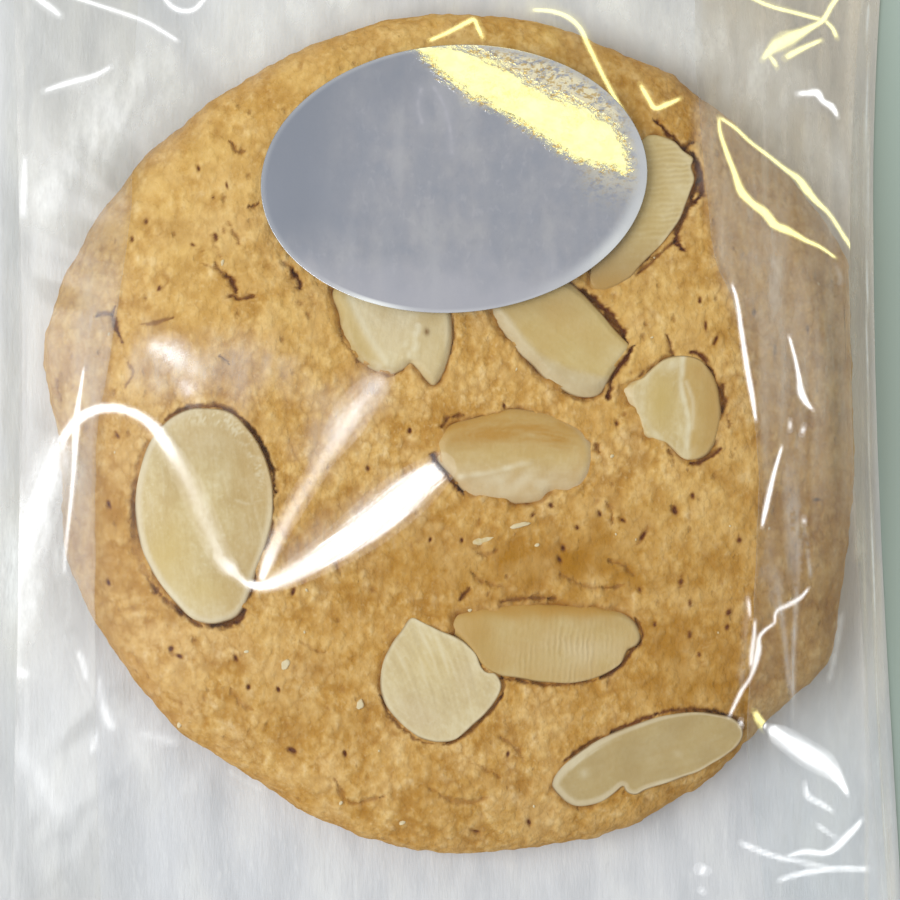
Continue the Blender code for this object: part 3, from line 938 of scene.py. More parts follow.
def biscuit_material():
    m, t, out = material("baked_crust")
    n = Tree(t)
    hole, groove_shade, rho, relief = n.attr("hole"), n.attr("groove_shade"), n.attr("rho"), n.attr("relief")
    brown, light = n.attr("brown"), n.attr("light")
    # mottled crumb at three sizes, the blotches taller than wide
    mottle = n.noise(n.coords((1.35, 1.8, 1.5)), 4.0, 0.60)
    grain = n.noise(n.coords((0.42, 0.56, 0.5)), 2.0, 0.55)
    patch = n.noise(n.coords((5.5, 6.5, 6.0)), 2.0, 0.5)
    base = n.ramp(mottle, (
        (0.32, seen(180, 131, 62)), (0.43, seen(200, 154, 82)), (0.51, seen(213, 170, 100)),
        (0.60, seen(224, 185, 118)), (0.70, seen(236, 204, 148)),
    ))
    base = n.mix(n.ramp(patch, ((0.36, 0.50), (0.50, 0.0))), base, seen(194, 146, 76))
    base = n.mix(n.ramp(patch, ((0.52, 0.0), (0.66, 0.42))), base, seen(219, 182, 126))
    # grains of the crumb, packed together, with darker gaps here and there, partly painted shade between them, and
    # paler tops, which are painted light
    crumbs = n.voronoi(n.warp(n.coords((0.86, 1.06, 0.95)), 0.6, 1.1), "F1", 1.0, 1.0)
    open_crumb = n.ramp(n.noise(n.coords((3.0, 3.4, 3.0)), 3.0, 0.6), ((0.40, 0.20), (0.58, 1.0)))
    gaps = n.math("MULTIPLY", n.ramp(crumbs["Distance"], ((0.40, 0.0), (0.74, 1.0))), open_crumb)
    base = n.mix(n.math("MULTIPLY", gaps, 0.62), base, seen(164, 115, 50))
    base = n.mix(n.math("MULTIPLY", n.ramp(crumbs["Distance"], ((0.05, 0.42), (0.34, 0.0))), open_crumb), base, seen(236, 202, 144))
    base = n.mix(n.ramp(grain, ((0.32, 0.34), (0.47, 0.0))), base, seen(178, 128, 60))
    base = n.mix(n.ramp(grain, ((0.58, 0.0), (0.74, 0.36))), base, seen(238, 208, 154))
    # broad zones: baked more, or paler
    base = n.mix(brown, base, seen(166, 116, 34))
    base = n.mix(light, base, seen(226, 188, 116))
    # painted light and shade: the raised crumb is paler, the hollows darker
    base = n.mix(n.math("MULTIPLY", relief, 2.2, clamp=True), base, seen(230, 194, 130))
    base = n.mix(n.math("MULTIPLY", relief, -2.6, clamp=True), base, seen(158, 108, 42))
    # small pits, some nearly round and some drawn out upwards, drawn as dark brown dots, partly painted shade in them
    v = n.voronoi(n.coords((1.5, 2.3, 1.6)), "F1", 1.0, 1.0)
    pick = n.t.nodes.new("ShaderNodeSeparateColor")
    n.t.links.new(v["Color"], pick.inputs["Color"])
    keep = n.math("GREATER_THAN", pick.outputs[0], 0.52)
    wobble = n.math("MULTIPLY_ADD", n.noise(n.coords((0.34, 0.42, 0.4)), 1.0), 0.30, v["Distance"])
    size = n.math("MULTIPLY_ADD", pick.outputs[1], 0.13, 0.15)
    dot = n.math("SUBTRACT", 1.0, n.math("DIVIDE", wobble, n.math("ADD", size, 0.13)), clamp=True)
    dot = n.math("MULTIPLY", n.math("MULTIPLY", dot, 1.9, clamp=True), keep)
    base = n.mix(n.math("MULTIPLY", dot, n.math("MULTIPLY_ADD", pick.outputs[2], 0.50, 0.22)), base, seen(140, 92, 34))
    # cracks and pits: warm brown, painted darker with depth as shade, darkest in the deepest; the grooves round the
    # flakes: painted shadow of the flakes' edges
    base = n.mix(n.math("MULTIPLY", hole, 1.15, clamp=True), base, n.ramp(hole, ((0.15, seen(168, 118, 54)), (0.55, seen(136, 88, 34)), (0.95, seen(104, 62, 18)))))
    base = n.mix(n.math("MULTIPLY", groove_shade, 1.05, clamp=True), base, n.ramp(groove_shade, ((0.2, seen(176, 128, 66)), (0.75, seen(142, 94, 42)), (1.0, seen(108, 64, 22)))))
    # the steep side darker
    base = n.mix(n.ramp(rho, ((0.95, 0.0), (1.0, 0.35))), base, seen(184, 130, 58))
    bumps = n.math("MULTIPLY_ADD", grain, 0.45, n.math("MULTIPLY", mottle, 1.0))
    bumps = n.math("MULTIPLY_ADD", dot, -0.5, bumps)
    bumps = n.math("MULTIPLY_ADD", crumbs["Distance"], -0.8, bumps)
    nrm = n.bump(bumps, 0.24, 0.9)
    p = n.node("ShaderNodeBsdfPrincipled", Base_Color=base, Roughness=0.85, Normal=nrm)
    p.inputs["Specular IOR Level"].default_value = 0.2
    t.links.new(p.outputs[0], out.inputs[0])
    return m


def add_attribute(ob, key, values):
    a = ob.data.attributes.new(key, "FLOAT", "POINT")
    a.data.foreach_set("value", np.asarray(values, np.float32).ravel())


def vertex_mm(ob):
    co = np.zeros(len(ob.data.vertices) * 3, np.float32)
    ob.data.vertices.foreach_get("co", co)
    return co.reshape(-1, 3).astype(float) / MM


co = vertex_mm(biscuit)
# browner places: below the middle, round the right side; paler ones: the upper left
def zone_share(zones, seed):
    total = np.zeros(len(co))
    for zx, zy, zw, zh, amount in zones:
        cx, cy = px(zx, zy)
        total = np.maximum(total, amount * np.exp(-0.5 * (((co[:, 0] - cx) / (zw * 0.1)) ** 2 + ((co[:, 1] - cy) / (zh * 0.1)) ** 2)))
    return np.clip(total * (1 + 0.8 * layered(co[:, 0], co[:, 1], 3.4, seed, 3)), 0, 1)


add_attribute(biscuit, "brown", zone_share((
    (560, 565, 150, 38, 0.68), (300, 700, 110, 50, 0.26), (620, 74, 70, 30, 0.22), (500, 520, 90, 26, 0.26),
    (740, 600, 36, 110, 0.30), (692, 668, 52, 42, 0.72), (480, 810, 190, 34, 0.22), (104, 550, 28, 90, 0.60), (560, 720, 90, 30, 0.2)), 71))
add_attribute(biscuit, "light", zone_share((
    (200, 190, 70, 90, 0.42), (350, 60, 120, 34, 0.42), (300, 330, 40, 60, 0.30), (640, 320, 70, 70, 0.30), (170, 320, 60, 40, 0.25), (700, 500, 60, 60, 0.18)), 73))
biscuit.data.materials.append(biscuit_material())
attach(biscuit, "root")


# ---- the almond flakes -------------------------------------------------------------------
def flake_top(x, y, spec, centre, slope, z0):
    """Height of a flake's broad face without its edge."""
    dx, dy = x - centre[0], y - centre[1]
    z = z0 + slope[0] * dx + slope[1] * dy
    return z - 0.0026 * (dx * dx + dy * dy)


def build_flake(name, spec):
    loop = flake_lines[name]
    # even spacing round the edge
    closed = np.concatenate([loop, loop[:1]])
    run = np.concatenate([[0], np.cumsum(np.hypot(*np.diff(closed, axis=0).T))])
    around = max(96, int(run[-1] / 0.22))
    at = np.linspace(0, run[-1], around, endpoint=False)
    edge = np.stack([np.interp(at, run, closed[:, 0]), np.interp(at, run, closed[:, 1])], -1)
    area = np.sum(edge[:, 0] * np.roll(edge[:, 1], -1) - np.roll(edge[:, 0], -1) * edge[:, 1])
    if area < 0:
        edge = edge[::-1]
    centre = edge.mean(0)
    # the plane it lies in: the crust's own slope there, plus its own tip
    e = 2.0
    zc = float(crust(np.array([centre[0]]), np.array([centre[1]]), False)[0])
    sx = float((crust(np.array([centre[0] + e]), np.array([centre[1]]), False) - crust(np.array([centre[0] - e]), np.array([centre[1]]), False))[0]) / (2 * e)
    sy = float((crust(np.array([centre[0]]), np.array([centre[1] + e]), False) - crust(np.array([centre[0]]), np.array([centre[1] - e]), False))[0]) / (2 * e)
    slope = (sx - spec["tip"][0], sy - spec["tip"][1])
    z0 = zc + spec["rise"]
    rows, co = [], []
    # broad face: rings from the edge inwards, closer together at the edge
    shares = [0.0, 0.012, 0.03, 0.055, 0.085, 0.115, 0.145] + list(np.linspace(0.18, 0.94, 20))
    turn = math.radians(spec["grain"])
    gx, gy = math.cos(turn), math.sin(turn)
    data = {key: [] for key in ("along", "across", "warm", "pale", "sallow", "dull", "comb", "deep", "spot")}
    seed = sum(map(ord, name))
    for k, share in enumerate(shares):
        ring = centre + (edge - centre) * (1 - share)
        x, y = ring[:, 0], ring[:, 1]
        d = np.maximum(-edge_distance(x, y, edge), 0.0)
        z = flake_top(x, y, spec, centre, slope, z0)
        # the cut edge rounds off over its rim
        r = spec["rim"]
        fall = np.clip(1 - d / r, 0, 1)
        z = z - 0.34 * fall ** 2.4 - 0.22 * fall ** 1.3
        u = (x - centre[0]) * gx + (y - centre[1]) * gy
        w = -(x - centre[0]) * gy + (y - centre[1]) * gx
        z = z + 0.05 * layered(x, y, 3.4, seed, 2) + 0.015 * lattice_noise(u / 3.5, w, 0.7, seed + 5) * (1 - fall)
        uneven = np.clip(0.45 + 0.9 * lattice_noise(x, y, 3.6, seed + 9), 0, 1)
        look = {"pale": fall ** 1.5 * 0.75 * uneven, "warm": np.full(len(x), spec["tan"])}
        look |= {key: np.zeros(len(x)) for key in ("sallow", "dull", "comb", "deep", "spot")}
        z = flake_extras(name, x, y, z, look, d)
        z = np.minimum(z, cover(x, y) - 0.50)
        # a thin dark brown line along its very edge, broken here and there
        thin = np.exp(-(d / 0.085) ** 2) * np.clip(0.62 + 0.9 * lattice_noise(x, y, 2.6, seed + 13), 0.0, 1.0)
        thin = thin * (1 - look.pop("fade", 0.0))
        look["spot"] = np.maximum(look["spot"], 0.80 * thin)
        co.append(np.stack([x, y, z], -1))
        rows.append(np.arange(around) + k * around)
        look |= {"along": u, "across": w}
        for key, value in look.items():
            data[key].append(value if key in ("along", "across") else np.clip(value, 0, 1))
    # the edge goes down into the crust
    top = co[0].copy()
    for k, (step, down) in enumerate(((0.07, 0.26), (0.08, 0.70), (-0.2, 1.05))):
        out = edge + (edge - centre) / np.maximum(np.hypot(*(edge - centre).T), 1e-6)[:, None] * step
        co.append(np.stack([out[:, 0], out[:, 1], top[:, 2] - down], -1))
        for key in data:
            data[key].append(data[key][0] * (1.0 if key in ("along", "across") else 0.9))
        rows.append(len(shares) * around + k * around + np.arange(around))
    co = np.concatenate(co)
    parts = []
    chain = [rows[-1], rows[-2], rows[-3]] + rows[:len(shares)]
    for a, b in zip(chain[:-1], chain[1:]):
        parts.append(np.stack([a, np.roll(a, -1), np.roll(b, -1), b], -1))
    mid = len(co)
    inner = rows[len(shares) - 1]
    zi = float(co[inner][:, 2].mean())
    under = mid + 1
    zu = float(co[rows[-1]][:, 2].mean())
    co = np.concatenate([co, [[centre[0], centre[1], zi]], [[centre[0], centre[1], zu]]])
    parts.append(np.stack([inner, np.roll(inner, -1), np.full(around, mid)], -1))
    low = rows[-1]
    parts.append(np.stack([np.roll(low, -1), low, np.full(around, under)], -1))
    flat = {}
    for key, values in data.items():
        v = np.concatenate(values)
        flat[key] = np.concatenate([v, [float(v[inner].mean()), 0.0]])
    return mixed_object(name, co, parts, flat)


def ridge(x, y, line, width, ahead=None):
    d, along, signed = line_distance(x, y, spline(pxs(line, 11.0), 4))
    return np.exp(-(d / width) ** 2), along, signed


def blob(x, y, cx, cy, rx, ry, turn=0.0):
    """A soft share about a place of the view, radii in pixels."""
    qx, qy = px(cx, cy, 11.0)
    c, s = math.cos(math.radians(turn)), math.sin(math.radians(turn))
    u, v = ((x - qx) * c + (y - qy) * s) / (rx * 0.1), (-(x - qx) * s + (y - qy) * c) / (ry * 0.1)
    return np.exp(-(u * u + v * v))


def rightwards(x, first, last):
    """0 to 1 from one column of the view to another."""
    return smooth(x, px(first, 0)[0], px(last, 0)[0])


def upwards(y, first, last):
    return smooth(y, px(0, first)[1], px(0, last)[1])


def flake_extras(name, x, y, z, look, d):
    """What is particular to a flake: its ridges, facets, chips and colour marks, among them painted shadows of the
    sticker and painted highlights. d: distance in from its edge.
    """
    specks = lattice_noise(x, y, 0.38, 161)
    soft_patch = lattice_noise(x, y, 2.2, 165)
    if name == "flake_a":
        g, _, _ = ridge(x, y, ((200, 430), (205, 480), (212, 540), (220, 590)), 0.9)
        z = z + 0.10 * g
        low = smooth(-(x + y), 17.0, 27.0)
        rim = 1 - smooth(d, 0.28, 0.80)
        look["warm"] = 0.06 + 0.20 * rightwards(x, 205, 262) + 0.10 * lattice_noise(x, y, 6.0, 5)
        look["deep"] = 0.34 * rightwards(x, 190, 250) * (1 - rim) + 0.24 * blob(x, y, 200, 452, 40, 30)
        # the rim on the lower left is painted pale and lilac: a painted highlight of the lit rim
        look["pale"] = np.maximum(look["pale"] * 0.30, 0.66 * rim * low) + 0.20 * blob(x, y, 176, 600, 30, 20, -40)
        look["dull"] = 0.40 * rim * low + 0.30 * blob(x, y, 200, 436, 46, 22)
        look["sallow"] = 0.75 * blob(x, y, 162, 560, 24, 46, -20) * (1 - rim) + 0.55 * blob(x, y, 206, 592, 30, 16)
        rough = smooth(0.8 * lattice_noise(x, y, 0.30, 177) + 0.7 * lattice_noise(x, y, 1.1, 163), -0.10, 0.45) * (1 - smooth(d, 1.0, 1.9))
        top = np.maximum(blob(x, y, 218, 426, 40, 20, -22), 0.9 * blob(x, y, 256, 458, 12, 34))
        look["pale"] = np.maximum(look["pale"], 1.0 * rough * top)
        look["deep"] = np.maximum(look["deep"], 0.30 * (1 - rough) * top)
        z = z + 0.05 * rough * top
        g2, _, _ = ridge(x, y, ((236, 500), (248, 504), (262, 500)), 0.12)
        g3, _, _ = ridge(x, y, ((246, 478), (256, 512), (262, 540)), 0.12)
        look["pale"] = np.maximum(look["pale"], 0.32 * np.maximum(g2, g3))
    elif name == "flake_b":
        # a yellow facet on the left, a white ridge, and two lobes
        line = spline(pxs(((346, 290), (355, 312), (366, 334), (382, 360), (390, 374)), 11.0), 4)
        _, _, s = line_distance(x, y, line)
        left = smooth(-s, -0.25, 0.55)
        lobe = rightwards(x, 414, 422)
        look["sallow"] = 0.70 * left * (1 - 0.5 * smooth(-s, 0.9, 1.6)) + 0.35 * lobe
        look["deep"] = 0.30 * left + 0.16 * lobe + 0.25 * blob(x, y, 388, 318, 26, 12)
        g, _, _ = ridge(x, y, ((352, 300), (362, 322), (374, 344), (386, 362)), 0.62)
        look["pale"] = np.maximum(0.40 * (1 - left) * (1 - 0.45 * lobe) * (1 + 0.5 * soft_patch), 0.85 * g * (1 - 0.55 * left))
        look["dull"] = 0.20 * blob(x, y, 395, 325, 24, 26) + 0.12 * lobe
        z = z - 0.14 * left * smooth(-s, 0.0, 1.8) + 0.10 * g
        g2, _, _ = ridge(x, y, ((418, 326), (413, 342), (410, 356)), 0.40)
        broken = np.clip(0.75 + 0.9 * lattice_noise(x, y, 0.8, 167), 0.1, 1.2)
        look["pale"] = np.maximum(look["pale"], 1.3 * broken * np.maximum(g2, blob(x, y, 411, 346, 8, 8)))
        z = z + 0.16 * g2 - 0.10 * lobe
        look["pale"] = np.maximum(look["pale"], 0.75 * broken * blob(x, y, 386, 366, 22, 7))
        look["pale"] = np.maximum(look["pale"], 0.6 * blob(x, y, 447, 338, 4, 28))
        look["spot"] = 1.0 * blob(x, y, 427, 332, 2.6, 3.8)
    elif name == "flake_c":
        far, _, s = line_distance(x, y, spline(pxs(((497, 308), (509, 318), (524, 338), (541, 354), (570, 369), (612, 378)), 11.0), 4))
        under = smooth(-s, -0.45, 0.60)
        # past the line is the pale cut edge, sloping down
        z = z - 0.17 * under * np.clip(far, 0, 1.6)
        face = 1 - under
        look["pale"] = 0.22 * under + 0.30 * np.exp(-((s + 0.15) / 0.30) ** 2) * (1 - rightwards(x, 500, 545)) + 0.10 * soft_patch
        look["dull"] = 0.30 * under
        look["sallow"] = 0.62 * face
        # towards the top the face is painted darker: painted shadow of the sticker
        look["deep"] = 0.16 * face + 0.30 * face * upwards(y, 335, 300) + 0.42 * under
        look["warm"] = (0.12 + 0.14 * lattice_noise(x, y, 3.0, 15)) * face + 0.18 * blob(x, y, 560, 318, 30, 16, -40)
        look["pale"] = np.maximum(look["pale"], 0.30 * blob(x, y, 618, 358, 12, 16, -50))
    elif name == "flake_d":
        low = 1 - upwards(y, 286, 216)
        broken = np.clip(0.65 + 0.9 * lattice_noise(x * 0.5, y, 1.6, 169), 0.0, 1.2)
        look["comb"] = 0.62 * (1 - smooth(low, 0.15, 0.62)) * broken * (0.45 + 0.55 * rightwards(x, 640, 668))
        # painted shadow of the sticker: a band along its edge, and the lower part painted darker
        far = label_share(x, y) - 1.0
        shade = np.exp(-np.maximum(far, 0.0) / 0.055)
        end = 1 - upwards(y, 294, 262)
        look["deep"] = 0.14 + 0.80 * low + 0.62 * shade
        look["warm"] = 0.05 + 0.20 * low + 0.45 * end
        look["fade"] = end
        z = z - 1.1 * end
        look["sallow"] = 0.35 * (1 - low)
        look["pale"] = (0.24 + 0.2 * soft_patch) * (1 - low) * rightwards(x, 650, 678)
        edge_pale, _, _ = ridge(x, y, ((672, 137), (690, 160), (691, 190), (680, 218), (662, 243)), 0.34)
        look["pale"] = np.maximum(look["pale"], 0.50 * edge_pale)
    elif name == "flake_e":
        g, _, s = ridge(x, y, ((683, 357), (682, 372), (681, 386), (685, 402), (689, 424), (687, 442), (688, 456)), 0.30)
        right, left = smooth(s, -0.05, 0.5), smooth(-s, -0.05, 0.4)
        uneven = np.clip(0.85 + 0.7 * lattice_noise(x, y, 1.2, 171), 0.3, 1.3)
        z = z + 0.34 * np.exp(-np.abs(s) / 1.1) - 0.16
        z = z - 0.16 * smooth(s, 1.2, 3.2)
        tip = 1 - rightwards(x, 624, 646)
        z = z - 0.85 * (1 - rightwards(x, 616, 643))
        look["fade"] = tip
        look["pale"] = np.maximum(look["pale"] * 0.3, 0.95 * g * uneven)
        g2, _, _ = ridge(x, y, ((686, 382), (692, 398), (693, 412), (692, 428)), 0.24)
        look["pale"] = np.maximum(look["pale"], 0.62 * g2)
        look["pale"] = np.maximum(look["pale"], 0.8 * uneven * blob(x, y, 671, 363, 12, 7, 20))
        # the yellow plate left of the ridge, with its pale outline
        look["sallow"] = np.maximum(0.95 * blob(x, y, 662, 402, 15, 28) * left, 0.45 * right)
        look["deep"] = 0.22 * blob(x, y, 664, 404, 12, 22) * left + 0.36 * right * rightwards(x, 690, 712)
        plate, _, _ = ridge(x, y, ((664, 362), (648, 376), (641, 404), (648, 426), (662, 440)), 0.34)
        look["pale"] = np.maximum(look["pale"], 0.55 * plate * uneven)
        z = z + 0.06 * plate
        look["pale"] = np.maximum(look["pale"], 0.40 * (1 - rightwards(x, 636, 650)) * np.clip(0.7 + 0.8 * soft_patch, 0, 1))
        look["warm"] = 0.08 + 0.34 * right + 0.22 * rightwards(x, 698, 720) + 0.20 * blob(x, y, 698, 372, 8, 8) + 0.10 * tip
        look["pale"] = np.maximum(look["pale"], 0.45 * blob(x, y, 686, 452, 9, 6))
    elif name == "flake_f":
        bow = px(0, 430)[1] - 0.024 * (x - px(512, 0)[0]) ** 2
        off = y - bow
        streaky = lattice_noise(x * 0.10 + 3, off, 0.34, 35) + 0.6 * lattice_noise(x * 0.16, off, 0.17, 36)
        band = np.exp(-((off + 0.15) / 1.20) ** 2) * (1 - rightwards(x, 548, 592)) * rightwards(x, 432, 466)
        look["warm"] = 0.30 + 0.06 * soft_patch + band * np.clip(0.62 + 0.34 * streaky, 0.1, 0.95) + 0.16 * smooth(off, 0.2, 1.2)
        # a painted highlight along the low ridge and over the lower middle, broken up by gleam
        g, _, _ = ridge(x, y, ((460, 477), (484, 473), (508, 468), (530, 462)), 0.36)
        gleam = np.clip(0.75 + 0.9 * lattice_noise(x, y, 1.3, 173), 0.2, 1.2)
        look["pale"] = np.maximum(look["pale"] * (1 - band) * 0.4, 0.78 * g * gleam)
        rim = 1 - smooth(d, 0.15, 0.95)
        side = rightwards(x, 550, 580)
        look["pale"] = np.maximum(look["pale"], 0.42 * rim * side + 0.56 * blob(x, y, 518, 482, 50, 15) * gleam)
        arc, _, _ = ridge(x, y, ((560, 424), (578, 436), (583, 456), (574, 476)), 0.40)
        look["warm"] = look["warm"] + 0.22 * arc + 0.36 * (1 - smooth(d, 0.05, 0.95)) * np.maximum(upwards(y, 446, 426), rightwards(x, 560, 592))
        look["dull"] = 0.50 * (1 - upwards(y, 486, 456)) + 0.34 * rim * side
        look["deep"] = 0.18 * blob(x, y, 448, 452, 12, 22) + 0.04 + 0.22 * band
        look["sallow"] = 0.42 * upwards(y, 484, 452)
        z = z + 0.015 * streaky * band + 0.08 * g - 0.10 * (1 - upwards(y, 490, 470)) - 0.12 * smooth(off, 0.3, 1.4)
    elif name == "flake_g":
        bowed = px(0, 616)[1] + 0.010 * (x - px(545, 0)[0]) ** 2
        upper = smooth(y - bowed + 0.25 * soft_patch, -0.9, 0.9)
        tail = 1 - rightwards(x, 470, 516)
        look["warm"] = 0.34 + 0.55 * upper + 0.20 * tail + 0.12 * soft_patch
        look["fade"] = np.clip(1 - rightwards(x, 456, 490) + 0.8 * upper * (1 - rightwards(x, 560, 600)), 0, 1)
        look["sallow"] = 0.45 + 0.5 * upper + 0.4 * tail
        broken = np.clip(0.55 + 1.1 * lattice_noise(x, y * 0.5, 1.5, 175), 0.0, 1.2)
        look["comb"] = 1.0 * blob(x, y, 570, 652, 50, 30) * broken
        z = z - 0.40 * upwards(y, 622, 600) - 0.34 * (1 - rightwards(x, 444, 486))
        look["pale"] = np.maximum(look["pale"] * (1 - upper) * (1 - tail) * 0.35, 0.30 * blob(x, y, 578, 650, 44, 20) * (1 + soft_patch))
        look["deep"] = 0.22 + 0.16 * blob(x, y, 600, 622, 30, 8) + 0.25 * upper + 0.2 * tail
        for sx, sy in ((630, 651), (570, 687)):
            look["spot"] = np.maximum(look["spot"], 0.7 * blob(x, y, sx, sy, 3.4, 3.4))
    elif name == "flake_h":
        u, v = (x - y) * 0.707, (x + y) * 0.707
        v = v + 0.02 * (u - 3.0) ** 2
        fibres = lattice_noise(u * 0.13, v, 0.44, 55) + 0.6 * lattice_noise(u * 0.16, v, 0.95, 56)
        centre = np.clip(blob(x, y, 438, 664, 46, 42) + 0.25, 0, 1)
        z = z + 0.045 * fibres * centre
        look["pale"] = 0.26 + 0.62 * np.clip(fibres, 0, 1) * centre + 0.30 * (1 - smooth(d, 0.12, 0.5))
        look["deep"] = 0.55 * np.clip(-fibres, 0, 1) * centre + 0.20 * blob(x, y, 428, 700, 40, 30)
        look["warm"] = np.full(len(x), 0.03)
        look["dull"] = 0.40 * blob(x, y, 420, 716, 26, 16, -30) + 0.25 * blob(x, y, 466, 676, 12, 16)
        look["sallow"] = 0.45 * blob(x, y, 432, 664, 34, 36)
    elif name == "flake_i":
        # a broad pale margin, widest on the left, round a darker middle
        wide = 0.40 + 0.30 * blob(x, y, 580, 772, 36, 34) - 0.20 * rightwards(x, 640, 700)
        inner = smooth(d / wide, 0.75, 1.45)
        broad = np.clip(0.55 + 0.5 * lattice_noise(x, y, 2.6, 67), 0, 1)
        upper_left = np.maximum(blob(x, y, 580, 766, 44, 30, -35), 0.5 * blob(x, y, 650, 724, 60, 10))
        look["deep"] = inner * (0.66 + 0.16 * lattice_noise(x, y, 3.0, 66)) + 0.34 * (1 - inner)
        look["sallow"] = 0.30 * inner
        look["warm"] = 0.05 + 0.05 * lattice_noise(x, y, 2.0, 66)
        look["dull"] = 0.40 * (1 - inner)
        look["pale"] = (1 - inner) * np.clip(0.16 + 0.30 * broad + 0.36 * upper_left, 0, 1)
        line = np.exp(-((d - 0.12) / 0.10) ** 2) * np.maximum(blob(x, y, 580, 762, 40, 34, -30), 0.95 * blob(x, y, 650, 786, 74, 18, 18))
        inside_line = np.exp(-((d - 0.72) / 0.12) ** 2) * blob(x, y, 584, 764, 26, 16, 35)
        look["pale"] = np.maximum(look["pale"], 0.85 * np.maximum(line, inside_line))
        look["pale"] = np.maximum(look["pale"], 0.5 * blob(x, y, 585, 775, 4, 5) + 0.3 * blob(x, y, 680, 756, 5, 4))
        z = z - 0.05 * inner + 0.05 * line
    elif name == "flake_j":
        look["warm"] = 0.20 + 0.25 * lattice_noise(x, y, 1.0, 65)
        look["pale"] = 0.35 + 0.4 * specks
        look["sallow"] = np.full(len(x), 0.3)
    return z


def almond_material():
    m, t, out = material("sliced_almond")
    n = Tree(t)
    comb = n.t.nodes.new("ShaderNodeCombineXYZ")
    n.t.links.new(n.math("MULTIPLY", n.attr("along"), 0.22), comb.inputs[0])
    n.t.links.new(n.math("MULTIPLY", n.attr("across"), 1.5), comb.inputs[1])
    fibre = n.noise(comb.outputs[0], 2.0, 0.55)
    broad = n.noise(n.coords((2.4, 2.8, 2.4)), 3.0, 0.6)
    speck = n.noise(n.coords((0.45, 0.55, 0.5)), 2.0, 0.6)
    base = n.ramp(broad, ((0.32, seen(198, 174, 122)), (0.50, seen(209, 188, 138)), (0.68, seen(219, 202, 158))))
    base = n.mix(n.ramp(fibre, ((0.34, 0.26), (0.50, 0.0))), base, seen(190, 164, 112))
    base = n.mix(n.ramp(fibre, ((0.54, 0.0), (0.72, 0.30))), base, seen(226, 212, 176))
    base = n.mix(n.ramp(speck, ((0.34, 0.22), (0.50, 0.0))), base, seen(186, 158, 108))
    base = n.mix(n.ramp(speck, ((0.56, 0.0), (0.72, 0.30))), base, seen(232, 220, 186))
    base = n.mix(n.attr("sallow"), base, seen(206, 180, 112))
    base = n.mix(n.attr("dull"), base, seen(204, 180, 144))
    # darker beige: the flakes' own darker places, and the painted shadow of the sticker on flakes c and d
    base = n.mix(n.math("MULTIPLY", n.attr("deep"), 0.85, clamp=True), base, seen(166, 142, 98))
    # fine ridges across some flakes
    wave = n.math("SINE", n.math("MULTIPLY_ADD", n.attr("across"), 2 * math.pi / 0.56, n.math("MULTIPLY", broad, 11.0)))
    combed = n.math("MULTIPLY", wave, n.attr("comb"))
    base = n.mix(n.math("MULTIPLY", combed, 0.34, clamp=True), base, seen(226, 210, 168))
    base = n.mix(n.math("MULTIPLY", combed, -0.40, clamp=True), base, seen(172, 146, 98))
    base = n.mix(n.math("MULTIPLY", n.attr("warm"), 1.0, clamp=True), base, seen(182, 137, 64))
    # pale: the cut edges, ridges and specks, and the painted highlights on flakes a and f
    base = n.mix(n.math("MULTIPLY", n.attr("pale"), 0.62, clamp=True), base, seen(234, 224, 194))
    base = n.mix(n.attr("spot"), base, seen(120, 86, 42))
    bumps = n.math("MULTIPLY_ADD", speck, 0.9, n.math("MULTIPLY", fibre, 0.7))
    bumps = n.math("MULTIPLY_ADD", combed, 0.5, bumps)
    p = n.node("ShaderNodeBsdfPrincipled", Base_Color=base, Roughness=0.5, Normal=n.bump(bumps, 0.07, 0.7))
    p.inputs["Specular IOR Level"].default_value = 0.4
    t.links.new(p.outputs[0], out.inputs[0])
    return m


almond = almond_material()
flakes = []
for flake_name, spec in FLAKES.items():
    ob = build_flake(flake_name, spec)
    ob.data.materials.append(almond)
    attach(ob, "root")
    flakes.append(ob)


# three pale chips of almond and some fine crumbs, lying on the crust: place, half-length and
# half-width in pixels, turn in degrees
BITS = ((285, 665, 6.0, 3.6, 60), (360, 705, 5.2, 3.4, 80), (520, 525, 10.0, 2.6, 14), (537, 545, 2.6, 1.8, 20), (222, 262, 3.2, 1.6, 75), (176, 728, 3.4, 2.2, 70),
        (402, 826, 3.4, 2.2, 30), (246, 652, 2.4, 1.6, 10), (340, 806, 2.4, 1.6, 50), (612, 456, 2.2, 1.6, 40), (470, 610, 2.2, 1.5, 20))


